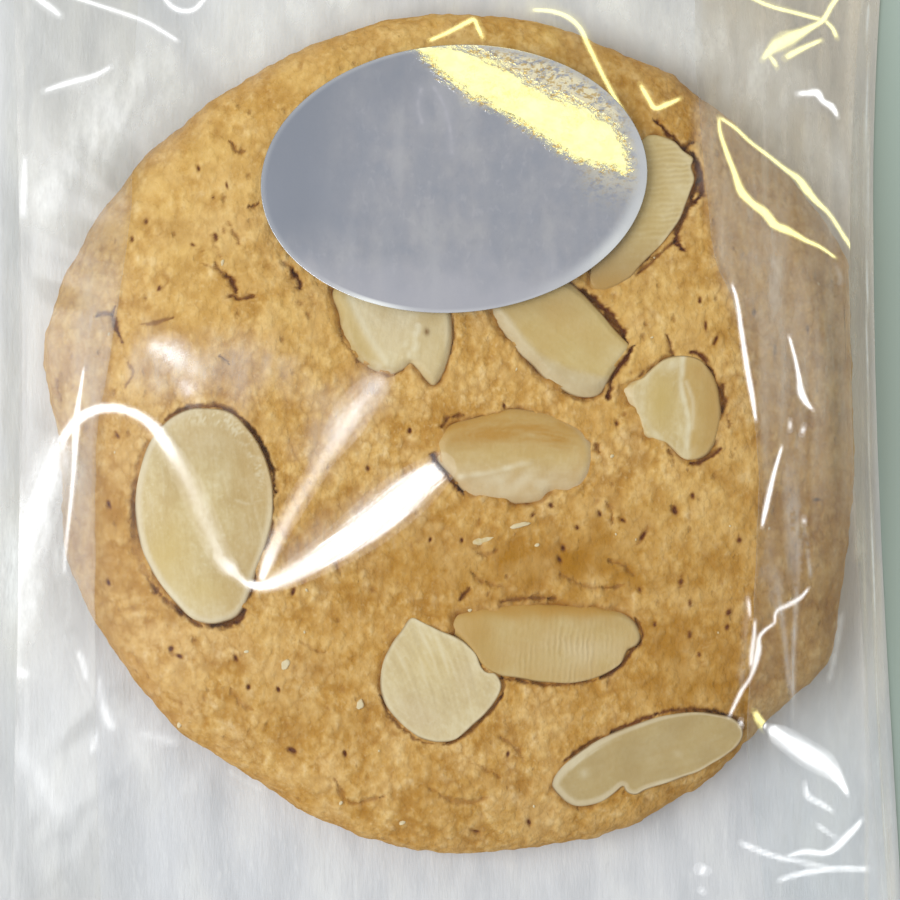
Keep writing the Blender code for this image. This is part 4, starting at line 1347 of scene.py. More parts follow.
def build_bits():
    spots = list(BITS)
    rng = np.random.RandomState(57)
    for _ in range(34):
        t, r = rng.rand() * 2 * math.pi, 400 * math.sqrt(rng.rand())
        spots.append((452 + r * math.cos(t), 434 + r * math.sin(t), 0.9 + 1.0 * rng.rand(), 0.7 + 0.7 * rng.rand(), rng.rand() * 180))
    ball = bmesh.new()
    bmesh.ops.create_icosphere(ball, subdivisions=3, radius=1.0)
    unit = np.array([v.co for v in ball.verts])
    tri = np.array([[v.index for v in f.verts] for f in ball.faces])
    ball.free()
    co, faces = [], []
    for k, (sx, sy, l, w, turn) in enumerate(spots):
        x, y = px(sx, sy, 11.2)
        if any(edge_distance(np.array([x]), np.array([y]), line)[0] < 0.2 for line in flake_lines.values()) and k >= len(BITS):
            continue
        z = float(held_in(np.array([x]), np.array([y]), crust(np.array([x]), np.array([y]))[0])[1][0])
        c, s = math.cos(math.radians(turn)), math.sin(math.radians(turn))
        lump = 1 + 0.28 * lattice_noise(unit[:, 0] * 1.3 + k, unit[:, 1] * 1.3 + unit[:, 2], 1.0, 59)
        ex, ey, ez = unit[:, 0] * l * 0.1 * lump, unit[:, 1] * w * 0.1 * lump, unit[:, 2] * 0.07 * w * lump
        px_, py_ = x + ex * c - ey * s, y + ex * s + ey * c
        pz_ = np.minimum(z + 0.02 * w + ez, cover(px_, py_) - 0.45)
        faces.append(tri + sum(len(q) for q in co))
        co.append(np.stack([px_, py_, pz_], -1))
    co = np.concatenate(co)
    zero = np.zeros(len(co))
    return mixed_object("almond_crumbs", co, [np.concatenate(faces)],
                        {"along": co[:, 0], "across": co[:, 1], "warm": zero + 0.1, "pale": zero + 0.6})


bits = build_bits()
bits.data.materials.append(almond)
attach(bits, "root")


# ---- light --------------------------------------------------------------------------------
WORLD = 0.66
KEY_AT, KEY_SIZE, KEY_RADIANCE, KEY_COLOUR = (-0.686, -0.110, 0.719), (0.75, 0.70), 4.02, (0.97, 0.985, 1.0)
WARM_AT, WARM_SIZE, WARM_RADIANCE, WARM_COLOUR = (0.226, 0.739, 0.207), (0.278, 0.278), 4.65, (1.0, 0.93, 0.30)


# ---- the folds of the film ----------------------------------------------------------------
# Each sharp fold has one flank that faces the window or the lamp. It is a line of places in
# the view with the half-width of that flank, in pixels, and how strongly it shines there if
# that is less than fully: which light, how strongly as a whole, and the places.
W, K = "lamp", "window"
FOLDS = (
    # top right corner
    (W, 1.0, ((748, -4, 2), (770, 6, 2.2), (800, 14, 2.2), (822, 20, 2.2))),
    (W, 1.0, ((842, -8, 2.2), (832, 5, 3), (823, 20, 3), (810, 28, 4), (797, 35, 6), (786, 40, 8), (777, 45, 7), (770, 51, 5), (762, 60, 2.6))),
    (W, 1.0, ((824, 20, 2), (832, 28, 2.2), (837, 38, 2.6))),
    (W, 1.0, ((822, 40, 2), (806, 47, 3), (792, 54, 4), (785, 58, 3.6))),
    (W, 1.0, ((768, 54, 2), (774, 62, 3), (777, 68, 2))),
    (K, 1.0, ((797, 94, 2.6), (808, 93, 3.6), (817, 93, 4.6), (823, 101, 3.4), (832, 107, 4), (838, 117, 2))),
    # the long sling of film over the right shoulder
    (W, 1.0, ((719, 117, 1.8), (735, 128, 2), (750, 142, 2), (770, 157, 2.2), (785, 169, 2.6), (797, 178, 4.2), (805, 188, 5),
              (815, 200, 3.8), (830, 215, 2.4), (843, 235, 2.4), (858, 261, 1.6))),
    (W, 1.0, ((719, 117, 2), (720, 132, 2.2), (726, 151, 2.8), (734, 172, 3.4), (741, 191, 4.8), (752, 203, 4.4), (765, 213, 5.2),
              (775, 225, 4.8), (789, 231, 4.4), (805, 240, 2.8), (820, 247, 2.2), (836, 258, 1.4))),
    (K, 1.0, ((732, 284, 1.2), (737, 301, 2), (742, 335, 2.8), (747, 368, 3.4), (752, 395, 3), (756, 421, 1.4))),
    (K, 1.0, ((789, 336, 1.4), (795, 358, 1.8), (799, 378, 2.8), (801, 392, 4.4), (806, 402, 3.6), (813, 410, 1.6))),
    (K, 1.0, ((782, 446, 1.2), (775, 470, 2.2), (770, 490, 3), (765, 512, 2.8), (762, 527, 1.4))),
    (K, 0.62, ((804, 518, 3), (804, 524, 3))),
    (K, 0.62, ((804, 426, 3), (802, 434, 3))),
    (K, 0.62, ((790, 420, 2), (790, 430, 2.4))),
    # the crushed crease below
    (K, 0.72, ((809, 588, 1.4), (800, 598, 2.4), (788, 605, 3.2, 0.8), (778, 610, 2.2, 0.8), (775, 616, 1.6), (774, 623, 1.7, 0.7), (765, 630, 2.0), (759, 638, 2.6),
              (758, 650, 4.2), (755, 664, 3.4), (750, 678, 2.2, 0.8), (742, 690, 2.5), (736, 702, 2.2), (729, 717, 1.4))),
    (K, 0.62, ((748, 598, 1.6, 0.6), (749, 606, 1.8), (750, 618, 1.6, 0.6))),
    (K, 0.62, ((755, 620, 1.6), (754, 636, 2.4), (752, 652, 3.2), (751, 668, 2.4))),
    (W, 1.0, ((754, 711, 3), (759, 720, 5), (765, 729, 5))),
    (K, 0.85, ((768, 727, 4), (778, 734, 8.4), (792, 743, 10), (808, 754, 11), (823, 763, 10.4), (834, 773, 7.4), (842, 784, 4.6), (848, 795, 2))),
    (K, 1.0, ((741, 720, 2.4), (741, 726, 2.6))),
    # bottom right corner
    (K, 0.42, ((805, 783, 1.4), (808, 796, 2.4), (820, 803, 2.4), (833, 811, 1.4))),
    (K, 0.61, ((786, 857, 2, 0.6), (804, 852, 3.4), (824, 853, 3.4), (835, 848, 4.4), (845, 838, 4.6), (855, 828, 3.8), (862, 819, 2.2))),
    (K, 0.42, ((741, 843, 2.0), (760, 851, 2.2), (781, 858, 1.8), (802, 862, 1.6, 0.7), (826, 867, 1.4, 0.6))),
    (K, 0.50, ((779, 880, 1.8, 0.7), (800, 874, 2.2), (830, 869, 2.5), (868, 869, 2.4))),
    (K, 0.62, ((700, 869, 6), (706, 871, 5))),
    (K, 0.62, ((701, 890, 3.6), (703, 892, 3.2))),
    (K, 0.32, ((817, 824, 1.4), (826, 831, 1.6), (836, 838, 1.4))),
    # the long side
    (K, 0.62, ((862, 16, 1.6), (864, 30, 2), (865, 46, 1.4))),
    (K, 0.62, ((866, 103, 2), (867, 113, 2.2))),
    (K, 1.0, ((871, 150, 1.8), (871, 168, 2.8), (870, 182, 2.8), (869, 200, 1.8))),
    (K, 1.0, ((870, 212, 1.6), (868, 236, 2.4), (866, 258, 2.6), (866, 274, 1.6))),
    (K, 1.0, ((869, 298, 2), (869, 310, 3), (869, 322, 2))),
    (K, 1.0, ((860, 258, 1.2), (857, 290, 2), (857, 325, 2.6), (855, 352, 3), (855, 385, 3), (857, 415, 2.6), (857, 450, 2), (858, 490, 2), (859, 535, 1.4))),
    # over the top of the biscuit
    (W, 1.0, ((429, 41, 2), (447, 33, 2.4), (466, 23, 3), (474, 20, 3), (478, 28, 2.4), (483, 39, 1.8))),
    (W, 1.0, ((532, 10, 2), (552, 11, 2.6), (568, 17, 3), (580, 28, 3), (589, 47, 3), (600, 70, 2.6), (612, 93, 2.6), (627, 118, 1.8))),
    (W, 1.0, ((640, 84, 2.2), (648, 98, 3), (655, 108, 3), (668, 104, 3), (681, 98, 1.8))),
    # top left corner
    (K, 0.62, ((162, -6, 2), (170, 5, 2.6), (182, 11, 3), (195, 9, 2.6), (207, -4, 2))),
    (K, 0.62, ((72, -3, 2), (110, 9, 2.2), (146, 22, 2.2), (178, 41, 1.8))),
    (K, 0.62, ((34, -4, 2.6), (48, 6, 4), (61, 16, 2.6))),
    (K, 0.62, ((44, 91, 2.4), (68, 83, 3.6), (94, 76, 3.2), (111, 67, 2))),
    (K, 0.62, ((25, 158, 1.5), (24, 186, 3.4), (23, 216, 1.5))),
    # over the left side: the arc and the fan of light
    (K, 1.0, ((60, 444, 5), (70, 428, 6), (84, 415, 6), (99, 409, 5.6), (115, 408, 5.4), (131, 412, 5.2), (146, 420, 5.6), (158, 432, 6.4),
              (168, 447, 7, 0.80), (178, 463, 8, 0.38), (188, 481, 9, 0.26), (197, 500, 9.5, 0.22), (207, 525, 9.5, 0.20), (216, 546, 9, 0.24), (222, 558, 7, 0.32))),
    (K, 1.0, ((212, 546, 4, 0.12), (220, 558, 7, 0.35), (229, 567, 7.5, 0.62), (239, 577, 4.5, 0.5), (250, 587, 3.6, 0.9))),
    (K, 1.0, ((84, 366, 1.6, 0.5), (82, 380, 2.0, 0.9), (79, 400, 2.8), (76, 425, 5), (75, 450, 3.8), (73, 480, 3.0, 0.85), (70, 510, 3.0, 0.7), (66, 545, 3.0, 0.5), (64, 575, 2.4, 0.3))),
    (K, 0.6, ((64, 438, 8), (54, 462, 13), (42, 492, 18), (29, 528, 22), (16, 566, 24, 0.9), (4, 604, 22, 0.7), (-8, 640, 18, 0.4))),
    # the leaf of light over the middle
    (K, 1.0, ((246, 583, 4), (258, 586, 5.5), (272, 583, 7), (292, 574, 9.5), (320, 558, 13), (350, 538, 17), (378, 517, 19.5), (402, 498, 19.5),
              (420, 484, 17.5), (433, 474, 14.5), (440, 468, 12.5))),
    (K, 0.85, ((261, 582, 4), (266, 566, 6), (274, 546, 7, 0.62), (285, 524, 7.4, 0.42), (297, 503, 8, 0.35), (312, 479, 8, 0.32), (326, 456, 8, 0.3))),
    (K, 0.5, ((318, 468, 5, 0.5), (332, 446, 8, 0.8), (346, 424, 11), (356, 408, 11, 0.95), (370, 392, 9, 0.7), (386, 378, 6, 0.4))),
    (K, 0.6, ((148, 345, 5, 0.8), (161, 348, 9), (174, 354, 11), (186, 364, 9, 0.6), (196, 376, 6, 0.3))),
    (K, 0.5, ((180, 378, 5, 0.6), (187, 388, 8), (191, 397, 6, 0.6))),
    # lower left
    (K, 0.45, ((-6, 667, 3), (12, 670, 4.2), (22, 673, 5.4), (30, 676, 4))),
    (K, 0.30, ((77, 650, 2), (83, 664, 3.6), (87, 682, 2))),
    (K, 0.36, ((99, 676, 1.8, 0.6), (102, 700, 3.0, 0.7), (107, 718, 4.4), (114, 731, 4.4))),
    (K, 0.30, ((96, 733, 1.6), (94, 744, 2.2), (92, 753, 1.6))),
    (K, 0.13, ((138, 733, 3), (155, 737, 3.6), (176, 742, 2.2))),
    (K, 0.12, ((-6, 735, 11), (15, 750, 15), (33, 770, 16), (48, 794, 14), (62, 816, 8))),
)
# creases that only whiten the film, and broad painted glare where the film shows a soft reflection: how white,
# half-width, places
HAZE_AND_GLARE = (
    (0.40, 4.0, ((28, -10), (22, 80), (14, 170), (10, 240))),
    (0.34, 16.0, ((5, -10), (4, 100), (2, 200), (0, 330), (0, 420))),
    (0.54, 46.0, ((190, 50), (120, 100), (60, 170), (20, 240))),
    (0.36, 34.0, ((360, -20), (270, 20), (190, 70))),
    (0.34, 40.0, ((560, -30), (650, 10), (740, 60), (810, 130))),
    (0.22, 10.0, ((100, 120), (110, 150), (100, 200))),
    (0.11, 22.0, ((92, 190), (86, 280), (84, 360), (92, 420))),
    (0.34, 30.0, ((126, 356), (180, 370), (236, 372), (276, 382))),
    (0.20, 16.0, ((282, 352), (290, 380), (318, 400), (350, 400))),
    (0.66, 32.0, ((60, 430), (44, 500), (30, 570), (14, 630), (0, 690))),
    (0.24, 26.0, ((790, 84), (826, 140), (846, 200), (858, 250))),
    (0.22, 18.0, ((70, 560), (56, 620), (40, 690))),
    (0.20, 16.0, ((262, 578), (300, 552), (330, 530), (380, 500), (420, 480))),
    (0.18, 10.0, ((110, 690), (130, 735), (150, 775))),
    (0.24, 22.0, ((300, 470), (330, 430), (356, 400), (392, 376))),
    (0.15, 8.0, ((697, 84), (704, 150), (716, 220), (730, 284), (742, 330))),
    (0.10, 3.0, ((692, 96), (700, 170), (712, 236), (724, 290))),
    (0.13, 12.0, ((770, 140), (810, 170), (850, 220))),
    (0.08, 26.0, ((800, 250), (806, 330), (812, 400))),
    (0.20, 8.0, ((864, 600), (867, 740), (872, 900))),
    (0.34, 2.6, ((797, 430), (797, 520), (796, 600), (793, 660), (793, 730))),
    (0.26, 3.0, ((771, 540), (778, 590), (785, 640), (791, 700))),
    (0.13, 3.0, ((760, 560), (774, 600), (788, 640))),
    (0.16, 2.4, ((771, 520), (769, 560), (776, 600))),
    (0.30, 2.2, ((860, 560), (863, 620), (865, 720), (866, 830), (868, 900))),
    (0.24, 3.2, ((873, 480), (876, 560), (878, 660), (882, 760), (888, 860), (893, 905))),
    (0.18, 2.6, ((868, 330), (870, 420), (872, 500))),
    (0.32, 3.4, ((842, 610), (836, 650), (828, 684))),
    (0.13, 1.8, ((112, 736), (118, 770), (126, 800), (140, 832))),
    (0.20, 2.2, ((62, 625), (70, 655), (80, 680), (95, 716))),
    (0.24, 2.0, ((94, 300), (88, 340), (84, 370))),
    (0.10, 2.4, ((60, 250), (90, 330), (118, 410))),
    (0.30, 2.0, ((804, 526), (807, 548), (811, 580))),
    (0.20, 3.0, ((787, 452), (789, 520), (790, 590))),
    (0.12, 2.6, ((700, 120), (712, 200), (725, 270), (734, 300))),
    (0.14, 2.2, ((742, 290), (760, 320), (775, 350))),
    (0.16, 3.0, ((748, 590), (745, 640), (741, 690))),
    (0.18, 2.6, ((226, 769), (244, 781), (264, 792))),
    (0.10, 6.0, ((735, 255), (770, 262), (800, 282))),
    (0.20, 3.0, ((834, 262), (841, 280), (836, 284))),
    (0.12, 2.0, ((720, 76), (745, 74), (760, 62))),
)

lamps = {"window": np.array(KEY_AT) / MM, "lamp": np.array(WARM_AT) / MM}
eye = np.array([0.0, 0.0, EYE])


def facing(x, y, z, light):
    """The normal with which a point shows that light to the view from above."""
    p = np.stack([x, y, z], -1)
    a, b = lamps[light] - p, eye - p
    h = a / np.linalg.norm(a, axis=1)[:, None] + b / np.linalg.norm(b, axis=1)[:, None]
    return h / np.linalg.norm(h, axis=1)[:, None]


def place_height(points):
    """The film's own height at places of the view, found by stepping from the plane."""
    p = np.array([q[:2] for q in points], float)
    z = np.full(len(p), 9.0)
    for _ in range(5):
        s = 0.1 * (EYE - z) / (EYE - PLANE)
        z = cover((p[:, 0] - HALF_PICTURE) * s, (HALF_PICTURE - p[:, 1]) * s)
    s = 0.1 * (EYE - z) / (EYE - PLANE)
    return np.stack([(p[:, 0] - HALF_PICTURE) * s, (HALF_PICTURE - p[:, 1]) * s], -1)


def prepared(points, default=None):
    """A smooth line on the film, with its half-width in mm at each of its points."""
    pts = place_height(points)
    width = np.array([p[2] if len(p) > 2 else default for p in points], float) * 0.1
    share = np.array([p[3] if len(p) > 3 else 1.0 for p in points], float)
    both = np.concatenate([pts, width[:, None], share[:, None]], -1)
    return spline(both, 5) if len(both) > 2 else both


fold_lines = [(light, share, prepared(points)) for light, share, points in FOLDS]
for light, share, line in fold_lines:
    line[:, 2] *= 0.64 + 0.26 * smooth(line[:, 2], 0.3, 0.9)
haze_and_glare_lines = [(amount, prepared(points, half)) for amount, half, points in HAZE_AND_GLARE]


def along_width(x, y, line, reach):
    """Which points lie near a line, their distance, its half-width there and the side."""
    lo, hi = line[:, :2].min(0) - reach, line[:, :2].max(0) + reach
    k = np.nonzero((x > lo[0]) & (x < hi[0]) & (y > lo[1]) & (y < hi[1]))[0]
    if not len(k):
        return k, None, None, None, None
    d, along, signed = line_distance(x[k], y[k], line[:, :2])
    run = np.concatenate([[0], np.cumsum(np.hypot(*np.diff(line[:, :2], axis=0).T))])
    w = np.interp(along, run / run[-1], line[:, 2])
    return k, d, w, along, signed


def slack(x, y):
    """The film's own small waves: radial puckers off the biscuit, long waves over it."""
    dx, dy = x - BX, y - BY
    a, r = np.arctan2(dy, dx), np.hypot(dx, dy)
    rs = SHOULDER_AT * biscuit_r(a)
    free = smooth(r / rs, 0.97, 1.12)
    inset = np.minimum(INNER + 5 - np.abs(y), 9) / 9
    inset = np.clip(inset, 0, 1)
    side = np.where(x >= 0, crease_x(1, y) - x, x - crease_x(-1, y))
    inset = inset * np.clip(side / 3.0, 0, 1)
    pucker = 0.24 * lattice_noise(a * 26, r * 0.10, 2.6, 81) + 0.09 * lattice_noise(a * 26, r * 0.16, 1.2, 83)
    waves = 0.13 * lattice_noise(x, y * 0.45, 7.0, 85) + 0.03 * lattice_noise(x * 1.2 + y * 0.3, y * 0.6, 2.6, 87)
    return free * inset * (pucker + waves) + (1 - free) * 0.02 * lattice_noise(x, y, 9.0, 89)


def under_label(x, y):
    """The stiff sticker holds the film up a little."""
    return 0.26 * (1 - smooth(label_share(x, y), 0.97, 1.22))


def edge_softness(w):
    return 0.09 + 0.32 * w


def film_height(x, y):
    z = cover(x, y) + slack(x, y) + under_label(x, y)
    for light, share, line in fold_lines:
        k, d, w, along, signed = along_width(x, y, line, 2.8)
        if not len(k):
            continue
        # a low ridge along the flank's edge
        ends = np.sin(np.pi * np.clip(along, 0.0, 1.0)) ** 0.5
        reach = w + 0.55
        g = (1 - smooth(d / reach, 0.0, 1.0)) * ends * min(1.0, share * 1.6)
        z[k] += g * np.minimum(0.08 + 0.20 * w, 0.26)
    return z


def line_share(line, along):
    run = np.concatenate([[0], np.cumsum(np.hypot(*np.diff(line[:, :2], axis=0).T))])
    return np.interp(along, run / run[-1], line[:, 3])


def film_sheen(x, y):
    """How strongly the drawn film of the folds shines, 0 to 1, soft towards its edges."""
    total = np.zeros_like(x)
    for light, share, line in fold_lines:
        k, d, w, along, signed = along_width(x, y, line, 3.6)
        if not len(k):
            continue
        length = np.hypot(*np.diff(line[:, :2], axis=0).T).sum()
        broad = smooth(w, 0.45, 0.85)
        soft = edge_softness(w) * (1.0 if share > 0.6 else 1.9) * (1 + 1.1 * broad) * (1 - 0.72 * smooth(w, 0.85, 1.3) * (share > 0.6))
        ragged = 1 + 0.13 * (1 - 0.8 * broad) * (lattice_noise(x[k], y[k], 0.9, 95) + 0.5 * lattice_noise(x[k], y[k], 0.4, 97))
        g = 1 - smooth(d, np.maximum(w * ragged - soft, 0.0), w * ragged + soft)
        # streaks along a broad flank, stronger towards its sides
        lines = lattice_noise(signed / 0.30, along * length / 5.5, 1.0, 131) + 0.5 * lattice_noise(signed / 0.13, along * length / 3.0, 1.0, 133)
        g = g ** (1.0 + 0.9 * broad) * (1 - 0.75 * broad * smooth(d / np.maximum(w, 0.1), 0.15, 0.9) * np.clip(0.45 + 1.1 * lines, 0, 1))
        ends = np.clip(np.minimum(along, 1 - along) * length / 0.5, 0, 1) ** 0.7
        streaks = 1.0 if share > 0.6 else np.clip(1 + 0.45 * layered(x[k] * 1.2, y[k] * 0.5, 1.6, 99, 2), 0.2, 1.8)
        glow = 0.07 * np.exp(-(d / (w + 0.45)) ** 2)
        total[k] = np.maximum(total[k], share * line_share(line, along) * (g * ends * streaks + glow))
    return np.clip(total, 0, 1)


def film_want(u, v, level):
    y = (v - 0.5) * BAG_LENGTH
    x = crease_x(-1, y) + u * (crease_x(1, y) - crease_x(-1, y))
    if level == 0:
        return np.ones(len(x), bool)
    near = np.zeros(len(x), bool)
    for light, share, line in fold_lines:
        k, d, w, along, signed = along_width(x, y, line, 3.2)
        if not len(k):
            continue
        soft = edge_softness(w)
        if level == 1:
            near[k] |= d < w + soft + 0.45
        elif level == 2 and share > 0.6:
            near[k] |= (d < w + soft + 0.10) & (d > w - soft - 0.25)
        elif level == 3 and share > 0.6:
            near[k] |= (d < w + soft) & (w < 0.36) & (d > w - soft)
    if level == 1:
        r = np.hypot(x - BX, y - BY) / (SHOULDER_AT * biscuit_r(np.arctan2(y - BY, x - BX)))
        near |= ((r > 0.99) & (r < 1.28) & (np.abs(y) < 55)) | (np.abs(np.abs(y) - 59.5) < 3.6)
    if level == 2:
        for amount, line in haze_and_glare_lines:
            k, d, w, along, signed = along_width(x, y, line, 1.0)
            if len(k):
                near[k] |= (d < w + 0.2) & (w < 0.5)
    return near


def film_haze_and_glare(x, y):
    """How white the film is: milky creases and streaks, and painted glare."""
    streak = layered(x * 1.3, y * 0.22, 3.0, 91, 3)
    h = 0.005 + 0.010 * np.clip(streak, 0, 1.5)
    for amount, line in haze_and_glare_lines:
        wide = line[:, 2].max() > 0.9
        k, d, w, along, signed = along_width(x, y, line, 2.2 * line[:, 2].max() + 1.0)
        if not len(k):
            continue
        ends = np.clip(np.sin(np.pi * np.clip(along, 0.0, 1.0)) * 3, 0, 1)
        rough = 0.75 + 0.55 * layered(x[k] * 1.1, y[k] * 0.35, 2.4, 93, 3) if wide else 0.8 + 0.4 * lattice_noise(x[k], y[k], 2.0, 93)
        h[k] = np.maximum(h[k], amount * ends * np.exp(-(d / w) ** 2) * np.clip(rough, 0.1, 1.6))
    return h


def build_film():
    uv, quads, tris, rim = tree_mesh(60, 84, 4, film_want)
    y = (uv[:, 1] - 0.5) * BAG_LENGTH
    x = crease_x(-1, y) + uv[:, 0] * (crease_x(1, y) - crease_x(-1, y))
    z = film_height(x, y)
    # the welded bands at both ends, pressed flat with ribs
    into = np.abs(y) - INNER
    flat = smooth(into, -0.8, 0.3)
    rib = RIB_HEIGHT * np.sin(math.pi * np.clip(into / WELD, 0, 1) * WELD_RIBS) ** 2
    z = z * (1 - flat) + (LIP - 0.05 + rib) * flat
    e = 0.06
    gx = (film_height(x + e, y) - film_height(x - e, y)) / (2 * e)
    gy = (film_height(x, y + e) - film_height(x, y - e)) / (2 * e)
    ribg = RIB_HEIGHT * math.pi * WELD_RIBS / WELD * np.sin(2 * math.pi * np.clip(into / WELD, 0, 1) * WELD_RIBS) * np.sign(y)
    gx, gy = gx * (1 - flat), gy * (1 - flat) + ribg * flat
    normal = np.stack([-gx, -gy, np.ones_like(gx)], -1)
    normal /= np.linalg.norm(normal, axis=1)[:, None]
    for light, share, line in fold_lines:
        k, d, w, along, signed = along_width(x, y, line, 3.2)
        if not len(k):
            continue
        soft = edge_softness(w) * (1.0 if share > 0.6 else 1.9)
        g = 1 - smooth(d, w + soft * 0.8, w + soft * 1.3 + 0.12)
        h = facing(x[k], y[k], z[k], light)
        normal[k] = normal[k] * (1 - g[:, None]) + h * g[:, None]
        normal[k] /= np.linalg.norm(normal[k], axis=1)[:, None]
    co = np.stack([x, y, z], -1)
    return mixed_object("front_film", co, [quads, tris], {"haze_and_glare": film_haze_and_glare(x, y), "sheen": film_sheen(x, y)}, normal)


def film_material(name, tint, milk_colour, low_tint=None):
    m, t, out = material(name)
    n = Tree(t)
    cloudy = n.noise(n.coords((2.2, 7.0, 4.0)), 3.0, 0.6)
    fine = n.noise(n.coords((0.6, 1.6, 1.0)), 2.0, 0.6)
    veil = n.math("MULTIPLY", n.attr("haze_and_glare"), n.math("MULTIPLY_ADD", cloudy, 1.0, n.math("MULTIPLY", fine, 0.9)), clamp=True)
    clear = n.t.nodes.new("ShaderNodeBsdfTransparent")
    clear.inputs["Color"].default_value = (*tint, 1.0)
    if low_tint:
        # clearer towards both ends
        t.links.new(n.mix(n.attr("clearer"), tint, low_tint), clear.inputs["Color"])
    gloss = n.t.nodes.new("ShaderNodeBsdfAnisotropic")
    gloss.inputs["Color"].default_value = (1.0, 1.0, 1.0, 1.0)
    gloss.inputs["Roughness"].default_value = 0.20
    # the same reflection from both sides of the film, stronger where a fold is drawn tight
    facing_node = n.t.nodes.new("ShaderNodeLayerWeight")
    facing_node.inputs["Blend"].default_value = 0.5
    away = n.math("POWER", facing_node.outputs["Facing"], 5.0)
    mirror = n.math("MULTIPLY_ADD", away, 0.90, 0.016)
    mirror = n.math("MULTIPLY_ADD", n.attr("sheen"), 0.25, mirror, clamp=True)
    shine = n.t.nodes.new("ShaderNodeMixShader")
    t.links.new(mirror, shine.inputs[0])
    t.links.new(clear.outputs[0], shine.inputs[1])
    t.links.new(gloss.outputs[0], shine.inputs[2])
    # a white veil: milky film, and painted glare where the film shows a soft reflection
    veil_and_glare = n.t.nodes.new("ShaderNodeBsdfDiffuse")
    whiter = n.math("MULTIPLY_ADD", n.attr("haze_and_glare"), 2.6, -0.62, clamp=True)
    t.links.new(n.mix(whiter, milk_colour, (0.95, 0.94, 0.92)), veil_and_glare.inputs["Color"])
    both = n.t.nodes.new("ShaderNodeMixShader")
    t.links.new(veil, both.inputs[0])
    t.links.new(shine.outputs[0], both.inputs[1])
    t.links.new(veil_and_glare.outputs[0], both.inputs[2])
    t.links.new(both.outputs[0], out.inputs[0])
    return m


wrap = film_material("clear_wrap", (0.975, 0.978, 0.98), (0.93, 0.915, 0.885))
# the sides are several layers of dull, folded film
side_wraps = {
    1: film_material("dull_wrap_right", (0.918, 0.906, 0.886), (0.88, 0.775, 0.615), (0.970, 0.982, 0.990)),
    -1: film_material("dull_wrap_left", (0.974, 0.972, 0.966), (0.93, 0.90, 0.83)),
}
film = build_film()
film.data.materials.append(wrap)
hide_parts("bag")
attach(film, "root")


# ---- the folded sides --------------------------------------------------------------------
PLEATS = {
    1: ((692, -220), (695, -60), (697, 60), (701, 110), (715, 250), (735, 302), (752, 400), (760, 470), (757, 560), (755, 620), (751, 670), (749, 720), (752, 790), (765, 900), (790, 1120)),
    -1: ((150, -220), (138, -20), (131, 100), (130, 200), (119, 290), (105, 380), (95, 440), (94, 620), (95, 780), (104, 1120)),
}


def side_lines(x, y):
    """White lines and bands along the outer edge of the bag, past the crease: painted highlights along its creases, and
    whiter film.
    """
    h = np.zeros_like(x)
    for amount, half, points in SIDE_LINES:
        pts = pxs([p[:2] for p in points], 3.0)
        at = np.interp(-y, -pts[:, 1], pts[:, 0])
        inside_run = smooth(y, pts[-1, 1] - 1.0, pts[-1, 1] + 1.0) * (1 - smooth(y, pts[0, 1] - 1.0, pts[0, 1] + 1.0))
        band = np.exp(-((x - at) / (half * 0.1)) ** 2) * inside_run
        h = np.maximum(h, amount * band * np.clip(0.8 + 0.5 * lattice_noise(x * 0.2, y, 7.0, 107), 0.3, 1.3))
    return h


# painted highlights along the creases of the right side, and whiter bands of film: how white, half-width, places
SIDE_LINES = (
    (0.34, 3.0, ((864, -10), (864, 200), (862, 330), (863, 480), (864, 560))),
    (0.34, 9.0, ((856, -10), (855, 200), (853, 330), (854, 480), (858, 560))),
    (0.85, 1.8, ((869, 0), (869, 150), (869, 270), (868, 340), (871, 480), (874, 560), (878, 700), (884, 800), (892, 905))),
    (0.40, 2.0, ((861, 470), (863, 560), (864, 640), (865, 760), (867, 905))),
    (0.30, 3.4, ((880, 560), (883, 660), (887, 760), (892, 840), (896, 905))),
)


